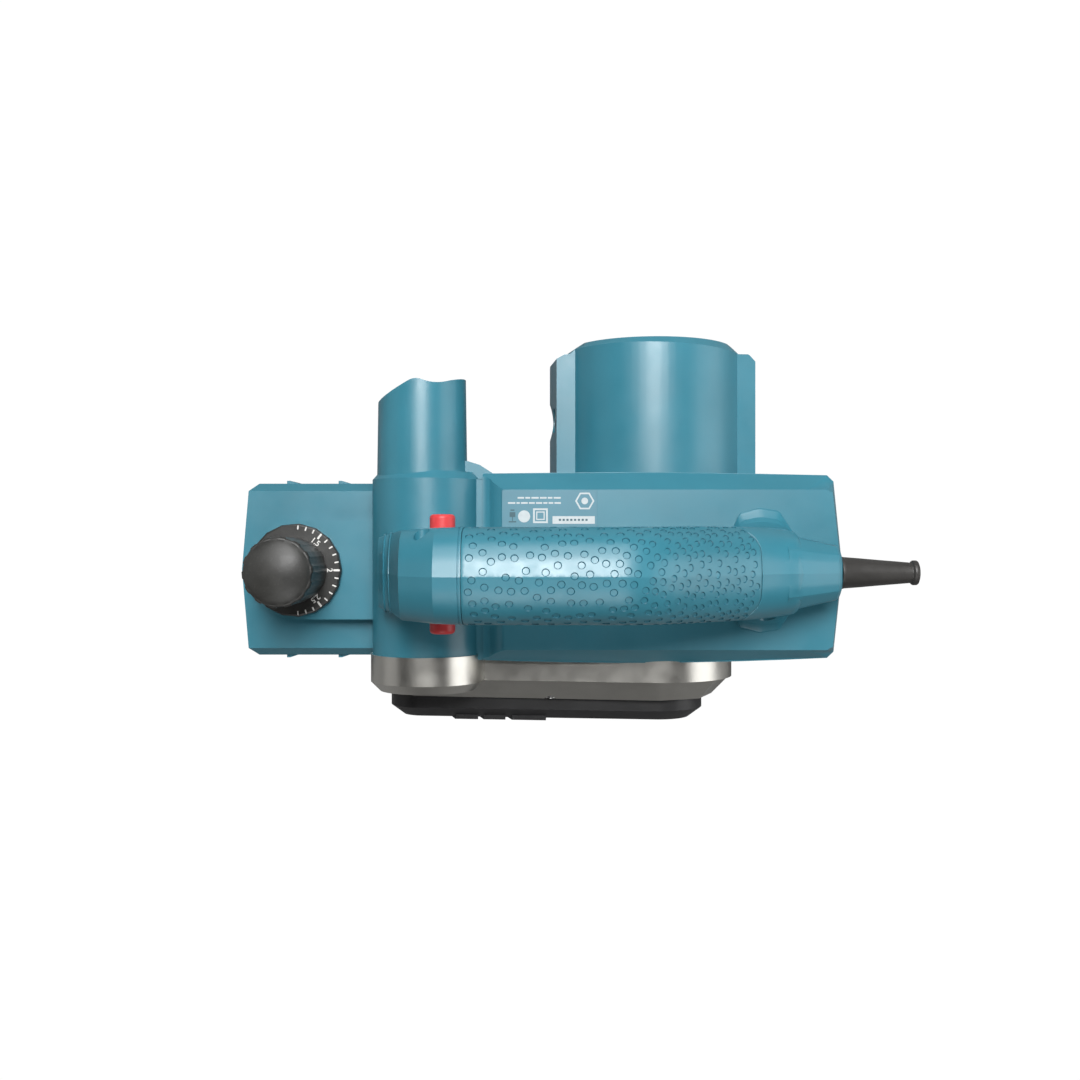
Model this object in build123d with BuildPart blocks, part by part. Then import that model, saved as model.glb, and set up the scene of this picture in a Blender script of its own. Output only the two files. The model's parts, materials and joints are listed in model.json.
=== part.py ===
"""Electric hand planer with an 82 mm planing width, modelled piece by piece in millimetres.

The origin is on the rear sole's working face, straight under the motor shaft. +Z is up, -X is the front,
+Y is the chip and motor side and -Y is the belt side.
"""
from build123d import *
from math import cos, radians, sin
import os

os.makedirs("parts", exist_ok=True)

# ---------------------------------------------------------------- driving dimensions
sole_half = 41.0            # half of the planing width
sole_z = 14.0               # top of the soles and underside of the body
depth_set = 2.0             # cutting depth the dial stands at
nose_x = -197.1             # front tip of the body
tail_x = 83.3               # rear tip of the body

drum_x, drum_z = -106.0, 23.5
cut_r = 23.45               # circle the blade tips run on
drum_r = 21.0
chamber_r = 26.0
slot_root, blade_back = 11.0, 18.0    # radii that the drum's slots and blades start from
blade_thick = 1.1
clamp_screw_y = (-28, 0, 28)

motor_x, motor_z = 0.0, 40.0
stator_r = 28.0
armature_r = 16.5
core_bore = 5.5             # bore of every piece pressed onto the armature shaft
brush_y = 71.8              # middle of the brushes along the motor
barrel_end = 107.3          # outer face of the motor barrel, in Y
barrel_x = 1.1              # middle of the barrel's outer form

duct_x, duct_z, duct_r = -106.0, 63.7, 25.3
nozzle_x, nozzle_z, nozzle_r = -108.2, 66.0, 20.7
nozzle_bore = 17.5
duct_room_r = 22.0          # chip room inside the hump

wall_plus, wall_minus = 44.3, -41.6      # side walls of the body
wall_top, roof_z = 74.0, 82.0            # top of the side walls and the flat roof
casting_inner, casting_rim = -38.0, -50.7
casting_face = -60.0
case_x, case_z, case_r = 2.0, 38.5, 36.3  # round rear end of the drive housing
cover_side, cover_face = -65.75, -70.5
cover_rise = 0.11           # slope of the belt cover's upper edge

dial_x = -169.0
deck_z = 44.0               # flat top of the nose
platform_z = 54.0
ring_r = 21.9
knob_top = 98.0

grip_front, grip_rear = -85.0, 38.0
skin = 2.0                  # thickness of the soft grip
lock_x, lock_z, lock_r, lock_end = -94.5, 119.0, 5.3, 24.8
gland_z, boss_end, gland_tip = 100.4, 75.2, 108.7
cord_r = 3.6

belt_inner, belt_outer_step = -56.5, 2.2
belt_width = 9.0
pulley_inner, nut_seat = -56.0, -62.5    # inner face of the pulleys and floor of their nut recess, in Y
drum_pulley_r, motor_pulley_r = 13.2, 9.0
belt_seat = (-52.0, -44.0)   # where both belt-side bearings sit, in Y
running_gap = 0.05          # radial play of a shaft in its bearing
body_gap = 0.3


def across(y):
    """Plane at Y = y that faces -Y: sketch X is the planer's X and sketch Y is its Z."""
    return Plane.XZ.offset(-y)


def along(x):
    """Plane at X = x that faces +X: sketch X is the planer's Y and sketch Y is its Z."""
    return Plane.YZ.offset(x)


def turned(x, z, steps):
    """Round piece on an axis along Y, from steps of (start, end, radius)."""
    with BuildPart() as piece:
        for start, end, radius in steps:
            with BuildSketch(across(end)):
                with Locations((x, z)):
                    Circle(radius)
            extrude(amount=end - start)
    return piece


def turned_ring(x, z, start, end, outer, inner):
    """Plain ring on an axis along Y."""
    with BuildPart() as piece:
        with BuildSketch(across(end)):
            with Locations((x, z)):
                Circle(outer)
                Circle(inner, mode=Mode.SUBTRACT)
        extrude(amount=end - start)
    return piece


def ball_bearing(x, z, start, end, outer, shaft):
    """Shielded ball bearing with rebated faces between its two rings."""
    with BuildPart() as piece:
        with BuildSketch(across(end)):
            with Locations((x, z)):
                Circle(outer)
                Circle(shaft + running_gap, mode=Mode.SUBTRACT)
        extrude(amount=end - start)
        for face, depth in ((end, 0.5), (start + 0.5, 0.5)):
            with BuildSketch(across(face)):
                with Locations((x, z)):
                    Circle(outer - 2.2)
                    Circle(shaft + 2.0, mode=Mode.SUBTRACT)
            extrude(amount=depth, mode=Mode.SUBTRACT)
    return piece


def coil_spring(plane, radius, wire, height, turns):
    """Open coil spring that stands on a plane."""
    with BuildPart() as piece:
        with BuildLine(plane):
            path = Helix(height / turns, height - 2 * wire, radius, center=(0, 0, wire))
        with BuildSketch(Plane(origin=path @ 0, z_dir=path % 0)):
            Circle(wire)
        sweep(is_frenet=True)
    return piece


def side_screws(points, head_r, head, shank_r, tip):
    """Screws driven along Y, each from (x, z): head is (start, end) in Y and tip the shank's far end."""
    with BuildPart() as piece:
        with BuildSketch(across(head[1])):
            with Locations(*points):
                Circle(head_r)
        extrude(amount=head[1] - head[0])
        with BuildSketch(across(head[0] + 1.6)):
            with Locations(*points):
                RegularPolygon(head_r * 0.5, 6)
        extrude(amount=1.6, mode=Mode.SUBTRACT)
        with BuildSketch(across(tip)):
            with Locations(*points):
                Circle(shank_r)
        extrude(amount=tip - head[1])
    return piece


def cut_holes(points, radius, start, end):
    """Cut round holes along Y out of the piece being built."""
    with BuildSketch(across(end)) as holes:
        with Locations(*points):
            Circle(radius)
    extrude(holes.sketch, amount=end - start, mode=Mode.SUBTRACT)


# ---------------------------------------------------------------- outlines shared by pieces
corner_x = nose_x + 3.2
nose_side = 41.5
nose_plan = [(corner_x, 37.7), (corner_x + 3.8, nose_side), (duct_x, nose_side),
             (duct_x, -nose_side), (corner_x + 3.8, -nose_side), (corner_x, -37.7), (nose_x, 0)]
body_front, body_rear = -84.0, tail_x - 4
roof_plus, roof_minus = 36.7, -35.1

casting_screw_points = [(-49.0, 56.5), (-16.0, 10.5)]
cover_screw_points = [(-72.0, 28.8), (11.0, 28.0)]
handle_screw_points = [(-113.0, 95.0), (46.0, 91.0)]
sole_screw_points = [(-60.0, 31.0), (-60.0, -31.0), (66.0, 31.0), (66.0, -31.0)]
clamp_screw_points = [(55.0, 6.2), (55.0, -6.2)]
window_plan = [(-80.4, 8.6), (-44.6, 8.6), (-44.6, -8.6), (-80.4, -8.6)]   # opening for the trigger


def body_walls():
    """Plan of the rear body: two gently bowed sides and a shallow V at the tail."""
    plus, minus = wall_plus, wall_minus
    with BuildSketch() as outline:
        with BuildLine():
            ThreePointArc((body_front, minus + 1.4), (motor_x, minus), (body_rear - 3, minus + 2.2))
            Polyline((body_rear - 3, minus + 2.2), (body_rear, minus + 5.0), (tail_x, 1.0),
                     (body_rear, plus - 3.6), (body_rear - 3, plus - 0.7))
            ThreePointArc((body_rear - 3, plus - 0.7), (motor_x, plus + 0.6), (body_front, plus))
            Line((body_front, plus), (body_front, minus + 1.4))
        make_face()
    return outline.sketch


def case_outline():
    """Side view of the drive housing: hump, sloping top, round rear end and the drum's front end."""
    rise = radians(8.5)
    tangent = (case_x - case_r * sin(rise), case_z + case_r * cos(rise))
    with Locations((duct_x, duct_z)):
        Circle(duct_r + 0.7)
    with Locations((drum_x - 2, 28)):
        Circle(24)
    with Locations((case_x, case_z)):
        Circle(case_r)
    Polygon((-132.0, 28), (-132.0, duct_z), (-84, 62.6), tangent, (case_x + 12, 6), (drum_x, 6), align=None)


def belt_hull(motor_radius, drum_radius):
    """Outline that wraps the two pulleys."""
    with BuildSketch() as outline:
        with BuildLine():
            CenterArc((motor_x, motor_z), motor_radius, 0, 360)
            CenterArc((drum_x, drum_z), drum_radius, 0, 360)
        make_hull()
    return outline.sketch


def barrel_outline():
    """End view of the motor barrel: round crown, two ledges, leaning sides and a flat bottom."""
    with BuildSketch() as outline:
        with BuildLine():
            ThreePointArc((barrel_x - 38.4, 50.9), (barrel_x, 74), (barrel_x + 38.4, 50.9))
            right = [(38.4, 50.9), (47.2, 50), (50.1, 24), (50.1, 14), (43, 7)]
            Polyline(*[(barrel_x + x, z) for x, z in right],
                     *[(barrel_x - x, z) for x, z in reversed(right)])
        make_face()
    return outline.sketch


# ---------------------------------------------------------------- main housing
with BuildPart() as housing_form:
    with BuildSketch(Plane.XY.offset(sole_z)):
        Polygon(*nose_plan, align=None)
    extrude(amount=deck_z - sole_z)
    for side in (1, -1):
        with BuildSketch(along(nose_x - 1)):
            Polygon((side * 37.7, deck_z), (side * nose_side, 38), (side * 43, 38), (side * 43, deck_z),
                    align=None)
        extrude(amount=duct_x - nose_x, mode=Mode.SUBTRACT)
        for rib_x in (-177.2, -152.1):
            with BuildSketch(Plane.XY.offset(sole_z)):
                Polygon((rib_x, side * 40), (rib_x, side * 43), (rib_x + 1.6, side * 43),
                        (rib_x + 6.1, side * nose_side), (rib_x + 6.1, side * 40), align=None)
            extrude(amount=22)
    with BuildSketch(Plane.XY.offset(deck_z)):
        with Locations((dial_x, 0)):
            Circle(23.3)
        Polygon((dial_x, 23.3), (dial_x, -23.3), (duct_x, -23.3), (duct_x, 23.3), align=None)
    extrude(amount=platform_z - deck_z)

    with BuildSketch(across(wall_plus + 0.8)):
        with Locations((duct_x, duct_z)):
            Circle(duct_r)
        Polygon((duct_x - duct_r, sole_z), (duct_x - duct_r, duct_z), (duct_x + duct_r, duct_z),
                (duct_x + duct_r, sole_z), align=None)
    extrude(amount=wall_plus + 0.8 - wall_minus + 0.3)

    with BuildSketch(Plane.XY.offset(sole_z)):
        add(body_walls())
    extrude(amount=wall_top - sole_z)
    with BuildSketch(Plane.XY.offset(wall_top)):
        Polygon((-80, wall_plus), (motor_x, wall_plus + 0.5), (body_rear - 3, wall_plus - 0.8),
                (body_rear, wall_plus - 3.7), (tail_x, 1), (body_rear, wall_minus + 5.1),
                (body_rear - 3, wall_minus + 2.3), (motor_x, wall_minus + 0.1), (-80, wall_minus + 1.4), align=None)
    with BuildSketch(Plane.XY.offset(roof_z)):
        Polygon((-80, roof_plus), (motor_x, roof_plus), (body_rear - 5, roof_plus), (body_rear - 2.3, roof_plus - 1.5),
                (tail_x - 2.5, 1), (body_rear - 2.3, roof_minus + 1.5), (body_rear - 5, roof_minus),
                (motor_x, roof_minus), (-80, roof_minus), align=None)
    loft(ruled=True)
    with BuildSketch(across(50)):
        with BuildLine():
            ThreePointArc((-85.2, 78.2), (-80.2, 75.6), (-76.4, 76.9))
            ThreePointArc((-76.4, 76.9), (-73.4, 79.9), (-69.6, roof_z))
            Polyline((-69.6, roof_z), (-69.6, 84), (-95, 92), (-88.5, 82.6), (-85.2, 78.2))
        make_face()
    extrude(amount=95, mode=Mode.SUBTRACT)

    with BuildSketch(across(barrel_end)):
        add(barrel_outline())
    extrude(amount=barrel_end - sole_half - 0.5)
    for corner in (((-33, 108), (-33, barrel_end), (-46, 100.3), (-53, 100.3), (-53, 108)),
                   ((35, 108), (35, barrel_end), (45.5, 101.9), (48.6, 98.6), (53, 94), (53, 108))):
        with BuildSketch(Plane.XY):
            Polygon(*corner, align=None)
        extrude(amount=80, mode=Mode.SUBTRACT)
    with BuildSketch(Plane.XY.offset(6)):
        with BuildLine():
            ThreePointArc((-49.3, 62.8), (-47.3, 73), (-49.3, 83.2))
            Polyline((-49.3, 83.2), (-52, 83.2), (-52, 62.8), (-49.3, 62.8))
        make_face()
    extrude(amount=40, mode=Mode.SUBTRACT)
    with BuildSketch(Plane.XY.offset(32)):
        Polygon((39, barrel_end), (44, barrel_end - 5), (60, barrel_end - 5), (60, barrel_end + 1),
                (39, barrel_end + 1), align=None)
    revolve(axis=Axis((0, 0, 32), (0, 1, 0)), mode=Mode.SUBTRACT)

    # slanted collar between the hump and the nozzle
    with BuildSketch(Plane.XY.offset(duct_z)):
        Polygon((duct_x + duct_r, wall_plus - 2.6), (duct_x + duct_r + 3, wall_plus - 2.6),
                (duct_x + duct_r + 3, wall_plus + 1.4), (duct_x + duct_r - 3.5, wall_plus + 1.4), align=None)
    revolve(axis=Axis((duct_x, 0, duct_z), (0, 1, 0)), mode=Mode.SUBTRACT)

    with BuildSketch(across(90)):
        with Locations((nozzle_x, nozzle_z)):
            Circle(nozzle_r - 0.7)
    with BuildSketch(across(wall_plus - 2)):
        with Locations((nozzle_x, nozzle_z)):
            Circle(nozzle_r)
    loft()
    with BuildSketch(Plane.XY.offset(40)):
        with BuildLine():
            Line((-131, 75.4), (-113, 85.0))
            ThreePointArc((-113, 85.0), (-109.4, 86.1), (-106.4, 85.6))
            ThreePointArc((-106.4, 85.6), (-100.6, 84.5), (-95, 85.6))
            Polyline((-95, 85.6), (-84, 89), (-84, 95), (-131, 95), (-131, 75.4))
        make_face()
    extrude(amount=50, mode=Mode.SUBTRACT)
    with BuildSketch(Plane.XY.offset(22)):
        Polygon((-100, 42), (-100, 50.2), (-87, 50.2), (-81.5, 48.5), (-74.6, 44.0), (-74.6, 42), align=None)
    extrude(amount=49)
    with BuildSketch(across(52)):
        with Locations((drum_x, drum_z)):
            Circle(16.5)
    extrude(amount=10)

with BuildPart() as main_housing:
    add(housing_form.part)
    # cutter chamber, throat, chip duct and nozzle bore
    cut_holes([(drum_x, drum_z)], chamber_r, -45, 41.5)
    cut_holes([(duct_x, duct_z)], duct_room_r, -38.5, 41.5)
    with BuildSketch(across(41.5)):
        Polygon((-124, 30), (-124, duct_z), (-88, duct_z), (-88, 30), align=None)
    extrude(amount=80, mode=Mode.SUBTRACT)
    cut_holes([(nozzle_x, nozzle_z)], nozzle_bore, 38, 92)
    cut_holes([(drum_x, drum_z)], 13, 42.5, 50.5)
    cut_holes([(drum_x, drum_z)], 6.5, 40, 43)
    # room for the motor, open below and at the barrel's end
    with BuildSketch(Plane.XY.offset(sole_z - 4)):
        Polygon((-70, 41.2), (73, 40), (76, 36), (76, -34), (73, -36.5), (-70, -37.2), align=None)
    extrude(amount=60, mode=Mode.SUBTRACT)
    with BuildSketch(Plane.XY.offset(69)):
        Polygon((-68, 33.5), (73, 33.5), (73, -32), (-68, -32), align=None)
    extrude(amount=roof_z - 3 - 69, mode=Mode.SUBTRACT)
    cut_holes([(motor_x, motor_z)], stator_r, 38, 100)
    cut_holes([(motor_x, motor_z)], 30.5, 100, barrel_end)
    cut_holes([(motor_x, motor_z)], 24, -45, -30)
    cut_holes(casting_screw_points, 2, -45, -35)
    with BuildSketch(along(-50)):
        with Locations((brush_y, motor_z)):
            Circle(6)
    extrude(amount=100, mode=Mode.SUBTRACT)
    # hollow nose with a thick platform that carries the depth spindle
    with BuildSketch(Plane.XY.offset(sole_z - 4)):
        Polygon((-191, 36), (-189, 38.3), (-134, 38.3), (-134, -38.3), (-189, -38.3), (-191, -36), align=None)
    extrude(amount=40 - sole_z + 4, mode=Mode.SUBTRACT)
    with BuildSketch(Plane.XY.offset(38)):
        with Locations((dial_x, 0)):
            Circle(4 + running_gap)
    extrude(amount=20, mode=Mode.SUBTRACT)
    # wiring hole under the rear pillar
    with BuildSketch(Plane.XY.offset(76)):
        with Locations((40, 0)):
            Circle(5)
    extrude(amount=8, mode=Mode.SUBTRACT)
    # blocks that the sole is screwed to
    for x, y in sole_screw_points:
        wall = 41.5 if y > 0 else -37.5
        with BuildSketch(Plane.XY.offset(sole_z)):
            Polygon((x - 6.5, y * 0.8), (x + 6.5, y * 0.8), (x + 6.5, wall), (x - 6.5, wall), align=None)
        extrude(amount=14)
        with BuildSketch(Plane.XY.offset(sole_z)):
            with Locations((x, y)):
                Circle(2.5)
        extrude(amount=10, mode=Mode.SUBTRACT)

# ---------------------------------------------------------------- drive housing
with BuildPart() as drive_housing:
    with BuildSketch(across(casting_inner)):
        case_outline()
    extrude(amount=casting_inner - casting_rim)
    with BuildSketch(across(casting_rim)):
        with Locations((duct_x, duct_z)):
            Circle(duct_r + 0.7)
    with BuildSketch(across(casting_rim - 4.1)):
        with Locations((duct_x, duct_z)):
            Circle(duct_r - 3.4)
    loft()
    with BuildSketch(across(casting_rim)):
        Polygon((-84.5, 62.6), (-3.4, 74.4), (case_x, case_z + case_r), (case_x + 25, case_z + 26.3),
                (case_x + case_r, case_z), (case_x + 27, 14), (case_x + 12, 4), (-108, 4), (-124, 12),
                (-131, 27), (-131, 44), (-120, 57), align=None)
    with BuildSketch(across(casting_face)):
        Polygon((-86, 53.3), (-3.4, 65.1), (case_x, case_z + 27), (case_x + 18.5, case_z + 19.5),
                (case_x + 27, case_z), (case_x + 20.5, 19), (case_x + 8, 11), (-106, 11), (-118, 17),
                (-122, 28), (-122, 40), (-114, 48.5), align=None)
    loft(ruled=True)
    add(housing_form.part, mode=Mode.SUBTRACT)
    with BuildSketch(Plane.XY.offset(-5)):
        Polygon((-140, -30), (60, -30), (60, -sole_half - 0.2), (-140, -sole_half - 0.2), align=None)
    extrude(amount=sole_z + 5.2, mode=Mode.SUBTRACT)
    cut_holes([(drum_x, drum_z)], chamber_r, -41.9, -30)
    # seats of the two bearings on the belt side and the holes of their shafts
    for x, z, shaft in ((drum_x, drum_z, 7.2), (motor_x, motor_z, 7.2)):
        cut_holes([(x, z)], 14, *belt_seat)
        cut_holes([(x, z)], shaft, casting_face, -30)
    # pockets that lighten the casting
    with BuildSketch(across(-41)):
        Polygon((-72, 20), (-72, 52), (-32, 56), (-32, 22), align=None)
    extrude(amount=8, mode=Mode.SUBTRACT)
    with BuildSketch(across(-38)):
        with Locations((motor_x, motor_z)):
            Circle(25)
            Circle(17, mode=Mode.SUBTRACT)
    extrude(amount=11, mode=Mode.SUBTRACT)
    with BuildSketch(across(-55.5)):
        add(belt_hull(14, 17))
    extrude(amount=5, mode=Mode.SUBTRACT)
    with BuildSketch(across(-55.5)):
        with Locations(cover_screw_points[0]):
            Circle(4.5)
    extrude(amount=4.5)
    cut_holes(casting_screw_points, 3.4, -64, -56.6)
    cut_holes(casting_screw_points, 2, -60, -38)
    cut_holes(cover_screw_points, 2, -60.1, -50)

# ---------------------------------------------------------------- belt cover
def cover_outline():
    """Outline of the belt cover: it wraps three circles."""
    with BuildSketch() as outline:
        with BuildLine():
            for x, z, radius in ((case_x, case_z, 22), (-109.7, 31.5, 17), (drum_x, drum_z, 18.5)):
                CenterArc((x, z), radius, 0, 360)
        make_hull()
    return outline.sketch


with BuildPart() as belt_cover:
    with BuildSketch(across(casting_face)):
        add(cover_outline())
    extrude(amount=casting_face - cover_side)
    with BuildSketch(across(cover_side)):
        add(cover_outline())
    extrude(amount=cover_side - cover_face, taper=53)
    for start, end in ((-94.7, -83.5), (-81.0, -70.4), (-67.5, -51.1)):
        with BuildSketch(across(cover_side)):
            Polygon((start, 55.9 + cover_rise * start), (end, 55.9 + cover_rise * end),
                    (end - 6, 33 + cover_rise * end), (start - 6, 33 + cover_rise * start), align=None)
        extrude(amount=cover_side - cover_face + 1)
    with BuildSketch(across(casting_face)):
        add(belt_hull(13.5, 16.4))
    extrude(amount=6.9, mode=Mode.SUBTRACT)
    with BuildSketch(across(casting_face)):
        with Locations(cover_screw_points[0]):
            Circle(4.5)
    extrude(amount=7)
    cut_holes(cover_screw_points, 2, -75, -59)
    cut_holes(cover_screw_points, 4, -75, -67.5)

belt_cover_screws = side_screws(cover_screw_points, 3.8, (-70.2, -67.5), 1.9, -50.5)
drive_housing_screws = side_screws(casting_screw_points, 3.2, (-59.9, -56.6), 1.9, -38.5)

# ---------------------------------------------------------------- soles
with BuildPart() as rear_sole:
    with BuildSketch(Plane.XY):
        Polygon((drum_x, sole_half), (82, sole_half), (84, 39), (84, -39), (82, -sole_half),
                (drum_x, -sole_half), align=None)
    extrude(amount=sole_z)
    with BuildSketch(Plane.XY.offset(5)):
        Polygon((-77, 36), (79, 36), (79, -36), (-77, -36), align=None)
    extrude(amount=sole_z, mode=Mode.SUBTRACT)
    cut_holes([(drum_x, drum_z)], chamber_r, -45, 45)
    cut_holes([(motor_x, motor_z)], stator_r + 0.5, 0, 45)
    cut_holes(casting_screw_points, 2, -45, -35)
    with BuildSketch(Plane.XY):
        with Locations(*sole_screw_points):
            Circle(6.5)
    extrude(amount=sole_z)
    with BuildSketch(Plane.XY.offset(-1)):
        with Locations(*sole_screw_points):
            Circle(2.6)
    extrude(amount=sole_z + 2, mode=Mode.SUBTRACT)
    with BuildSketch(Plane.XY):
        with Locations(*sole_screw_points):
            Circle(5)
    extrude(amount=4, mode=Mode.SUBTRACT)

with BuildPart() as front_shoe:
    shoe_z = depth_set
    with BuildSketch(Plane.XY.offset(shoe_z)):
        Polygon((drum_x, sole_half), (-196, sole_half), (-203, 33), (-203, -33), (-196, -sole_half),
                (drum_x, -sole_half), align=None)
    extrude(amount=7)
    with BuildSketch(Plane.XY.offset(shoe_z)):
        Polygon((-186, 30), (-137, 30), (-137, -30), (-186, -30), align=None)
        Polygon((-183, 27), (-140, 27), (-140, -27), (-183, -27), align=None, mode=Mode.SUBTRACT)
        with Locations((dial_x, 0)):
            Circle(8)
    extrude(amount=22)
    with BuildSketch(Plane.XY.offset(shoe_z)):
        with Locations((dial_x, 0)):
            Circle(4 + running_gap)
    extrude(amount=30, mode=Mode.SUBTRACT)
    for y in (-22, 0, 22):
        with BuildSketch(along(-204)):
            Polygon((y - 3, shoe_z), (y, shoe_z + 3), (y + 3, shoe_z), align=None)
        extrude(amount=98, mode=Mode.SUBTRACT)
    cut_holes([(drum_x, drum_z)], chamber_r + 0.5, -45, 45)

with BuildPart() as sole_screws:
    with BuildSketch(Plane.XY.offset(0.4)):
        with Locations(*sole_screw_points):
            Circle(4.6)
    extrude(amount=3.6)
    with BuildSketch(Plane.XY.offset(0.4)):
        with Locations(*sole_screw_points):
            RegularPolygon(2.2, 6)
    extrude(amount=2, mode=Mode.SUBTRACT)
    with BuildSketch(Plane.XY.offset(4)):
        with Locations(*sole_screw_points):
            Circle(2.5)
    extrude(amount=sole_z + 5)

# ---------------------------------------------------------------- depth setting
with BuildPart() as depth_spindle:
    for start, end, radius in ((14, 72, 4), (37, 39.9, 7)):
        with BuildSketch(Plane.XY.offset(start)):
            with Locations((dial_x, 0)):
                Circle(radius)
        extrude(amount=end - start)

with BuildPart() as scale_ring:
    with BuildSketch(Plane.XY.offset(platform_z + body_gap)):
        with Locations((dial_x, 0)):
            Circle(ring_r)
            Circle(4, mode=Mode.SUBTRACT)
    extrude(amount=3.7)
    chamfer(scale_ring.edges().group_by(Axis.Z)[-1].sort_by(SortBy.LENGTH)[-1], 0.8)

with BuildPart() as depth_knob:
    base = platform_z + 4
    with BuildSketch(Plane.XZ):
        with BuildLine():
            Polyline((dial_x, base), (dial_x + 15.6, base), (dial_x + 16.1, knob_top - 6.5),
                     (dial_x + 15.2, knob_top - 4.5))
            ThreePointArc((dial_x + 15.2, knob_top - 4.5), (dial_x + 10, knob_top - 1.5), (dial_x + 3, knob_top))
            Polyline((dial_x + 3, knob_top), (dial_x, knob_top), (dial_x, base))
        make_face()
    revolve(axis=Axis((dial_x, 0, 0), (0, 0, 1)))
    with BuildSketch(Plane.XY.offset(base + 3)):
        with Locations((dial_x, 0)):
            with PolarLocations(23.5, 14):
                Circle(8.4)
    extrude(amount=50, mode=Mode.SUBTRACT)
    with BuildSketch(Plane.XY.offset(base)):
        with Locations((dial_x, 0)):
            Circle(4)
    extrude(amount=72 - base, mode=Mode.SUBTRACT)

shoe_spring = coil_spring(Plane((dial_x, 0, depth_set + 7.05)), 10.6, 0.8, 30.8, 6)

# ---------------------------------------------------------------- cutter
def drum_plane(index):
    """Plane at the +Y end of the drum, turned to one of its two blades."""
    return Plane(origin=(drum_x, sole_half, drum_z), x_dir=(1 - 2 * index, 0, 0), z_dir=(0, -1, 0))


with BuildPart() as cutter_drum:
    with BuildSketch(across(sole_half)):
        with Locations((drum_x, drum_z)):
            Circle(drum_r)
    extrude(amount=2 * sole_half)
    for start, end, radius in ((41, 50.4, 5), (-52.5, -41, 6), (-65.8, -52.5, 5)):
        with BuildSketch(across(end)):
            with Locations((drum_x, drum_z)):
                Circle(radius)
        extrude(amount=end - start)
    for index in (0, 1):
        with BuildSketch(drum_plane(index)):
            Polygon((slot_root, 0), (30, 0), (30, 7), (slot_root, 7), align=None)
            Polygon((blade_back, -blade_thick), (30, -blade_thick), (30, 0), (blade_back, 0), align=None)
            Polygon((15.5, -blade_thick), (24, -9), (24, -blade_thick), align=None)
        extrude(amount=2 * sole_half, mode=Mode.SUBTRACT)

with BuildPart() as blades:
    for index in (0, 1):
        with BuildSketch(drum_plane(index)):
            Polygon((blade_back, -blade_thick), (cut_r, -blade_thick), (cut_r - 0.9, 0), (blade_back, 0), align=None)
        extrude(amount=2 * sole_half)

with BuildPart() as blade_clamps:
    for index in (0, 1):
        with BuildSketch(drum_plane(index)):
            Polygon((slot_root, 0), (21, 0), (20, 7), (slot_root, 7), align=None)
        extrude(amount=2 * sole_half)
        for y in clamp_screw_y:
            side = 1 - 2 * index
            with BuildSketch(Plane.YZ.offset(drum_x + side * slot_root)):
                with Locations((y, drum_z + side * 3.5)):
                    Circle(2.5)
            extrude(amount=side * 12, mode=Mode.SUBTRACT)

with BuildPart() as clamp_screws:
    for side in (1, -1):
        for y in clamp_screw_y:
            with BuildSketch(Plane.YZ.offset(drum_x + side * slot_root)):
                with Locations((y, drum_z + side * 3.5)):
                    Circle(2.5)
            extrude(amount=side * 8)
            with BuildSketch(Plane.YZ.offset(drum_x + side * (slot_root + 5.5))):
                with Locations((y, drum_z + side * 3.5)):
                    RegularPolygon(1.4, 6)
            extrude(amount=side * 3, mode=Mode.SUBTRACT)

drum_bearing_belt_side = ball_bearing(drum_x, drum_z, *belt_seat, 14, 6)
drum_bearing_motor_side = ball_bearing(drum_x, drum_z, 42.5, 50.5, 13, 5)


def grooved_pulley(x, z, radius, shaft):
    """Pulley with poly-V grooves and a recess for its nut."""
    with BuildPart() as piece:
        with BuildSketch(across(pulley_inner)):
            with Locations((x, z)):
                Circle(radius)
                Circle(shaft, mode=Mode.SUBTRACT)
        extrude(amount=10)
        with BuildSketch(across(nut_seat)):
            with Locations((x, z)):
                Circle(6.6)
        extrude(amount=4, mode=Mode.SUBTRACT)
    return piece


drum_pulley = grooved_pulley(drum_x, drum_z, drum_pulley_r, 5)
motor_pulley = grooved_pulley(motor_x, motor_z, motor_pulley_r, 5)


def pulley_nut(x, z, shaft):
    """Flat hexagon nut that sits in a pulley's recess."""
    with BuildPart() as piece:
        with BuildSketch(across(nut_seat)):
            with Locations((x, z)):
                RegularPolygon(6.5, 6)
                Circle(shaft, mode=Mode.SUBTRACT)
        extrude(amount=3.2)
    return piece


drum_pulley_nut = pulley_nut(drum_x, drum_z, 5)
motor_pulley_nut = pulley_nut(motor_x, motor_z, 5)

with BuildPart() as drive_belt:
    with BuildSketch(across(belt_inner)):
        add(belt_hull(motor_pulley_r + belt_outer_step, drum_pulley_r + belt_outer_step))
    extrude(amount=belt_width)
    with BuildSketch(across(belt_inner)):
        add(belt_hull(motor_pulley_r + body_gap, drum_pulley_r + body_gap))
    extrude(amount=belt_width, mode=Mode.SUBTRACT)

# ---------------------------------------------------------------- motor
armature_shaft = turned(motor_x, motor_z, [(-65.8, -44, 5), (-52.5, -42, 6), (-42, 87.5, core_bore), (87.5, 96, 4)])
armature_core = turned_ring(motor_x, motor_z, 12, 52, armature_r, core_bore)
commutator = turned_ring(motor_x, motor_z, 64, 79, 11, core_bore)

with BuildPart() as armature_windings:
    for start, end, radius in ((3, 12, 14.5), (52, 62, 14.5)):
        with BuildSketch(across(end)):
            with Locations((motor_x, motor_z)):
                Circle(radius)
                Circle(core_bore, mode=Mode.SUBTRACT)
        extrude(amount=end - start)

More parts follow.
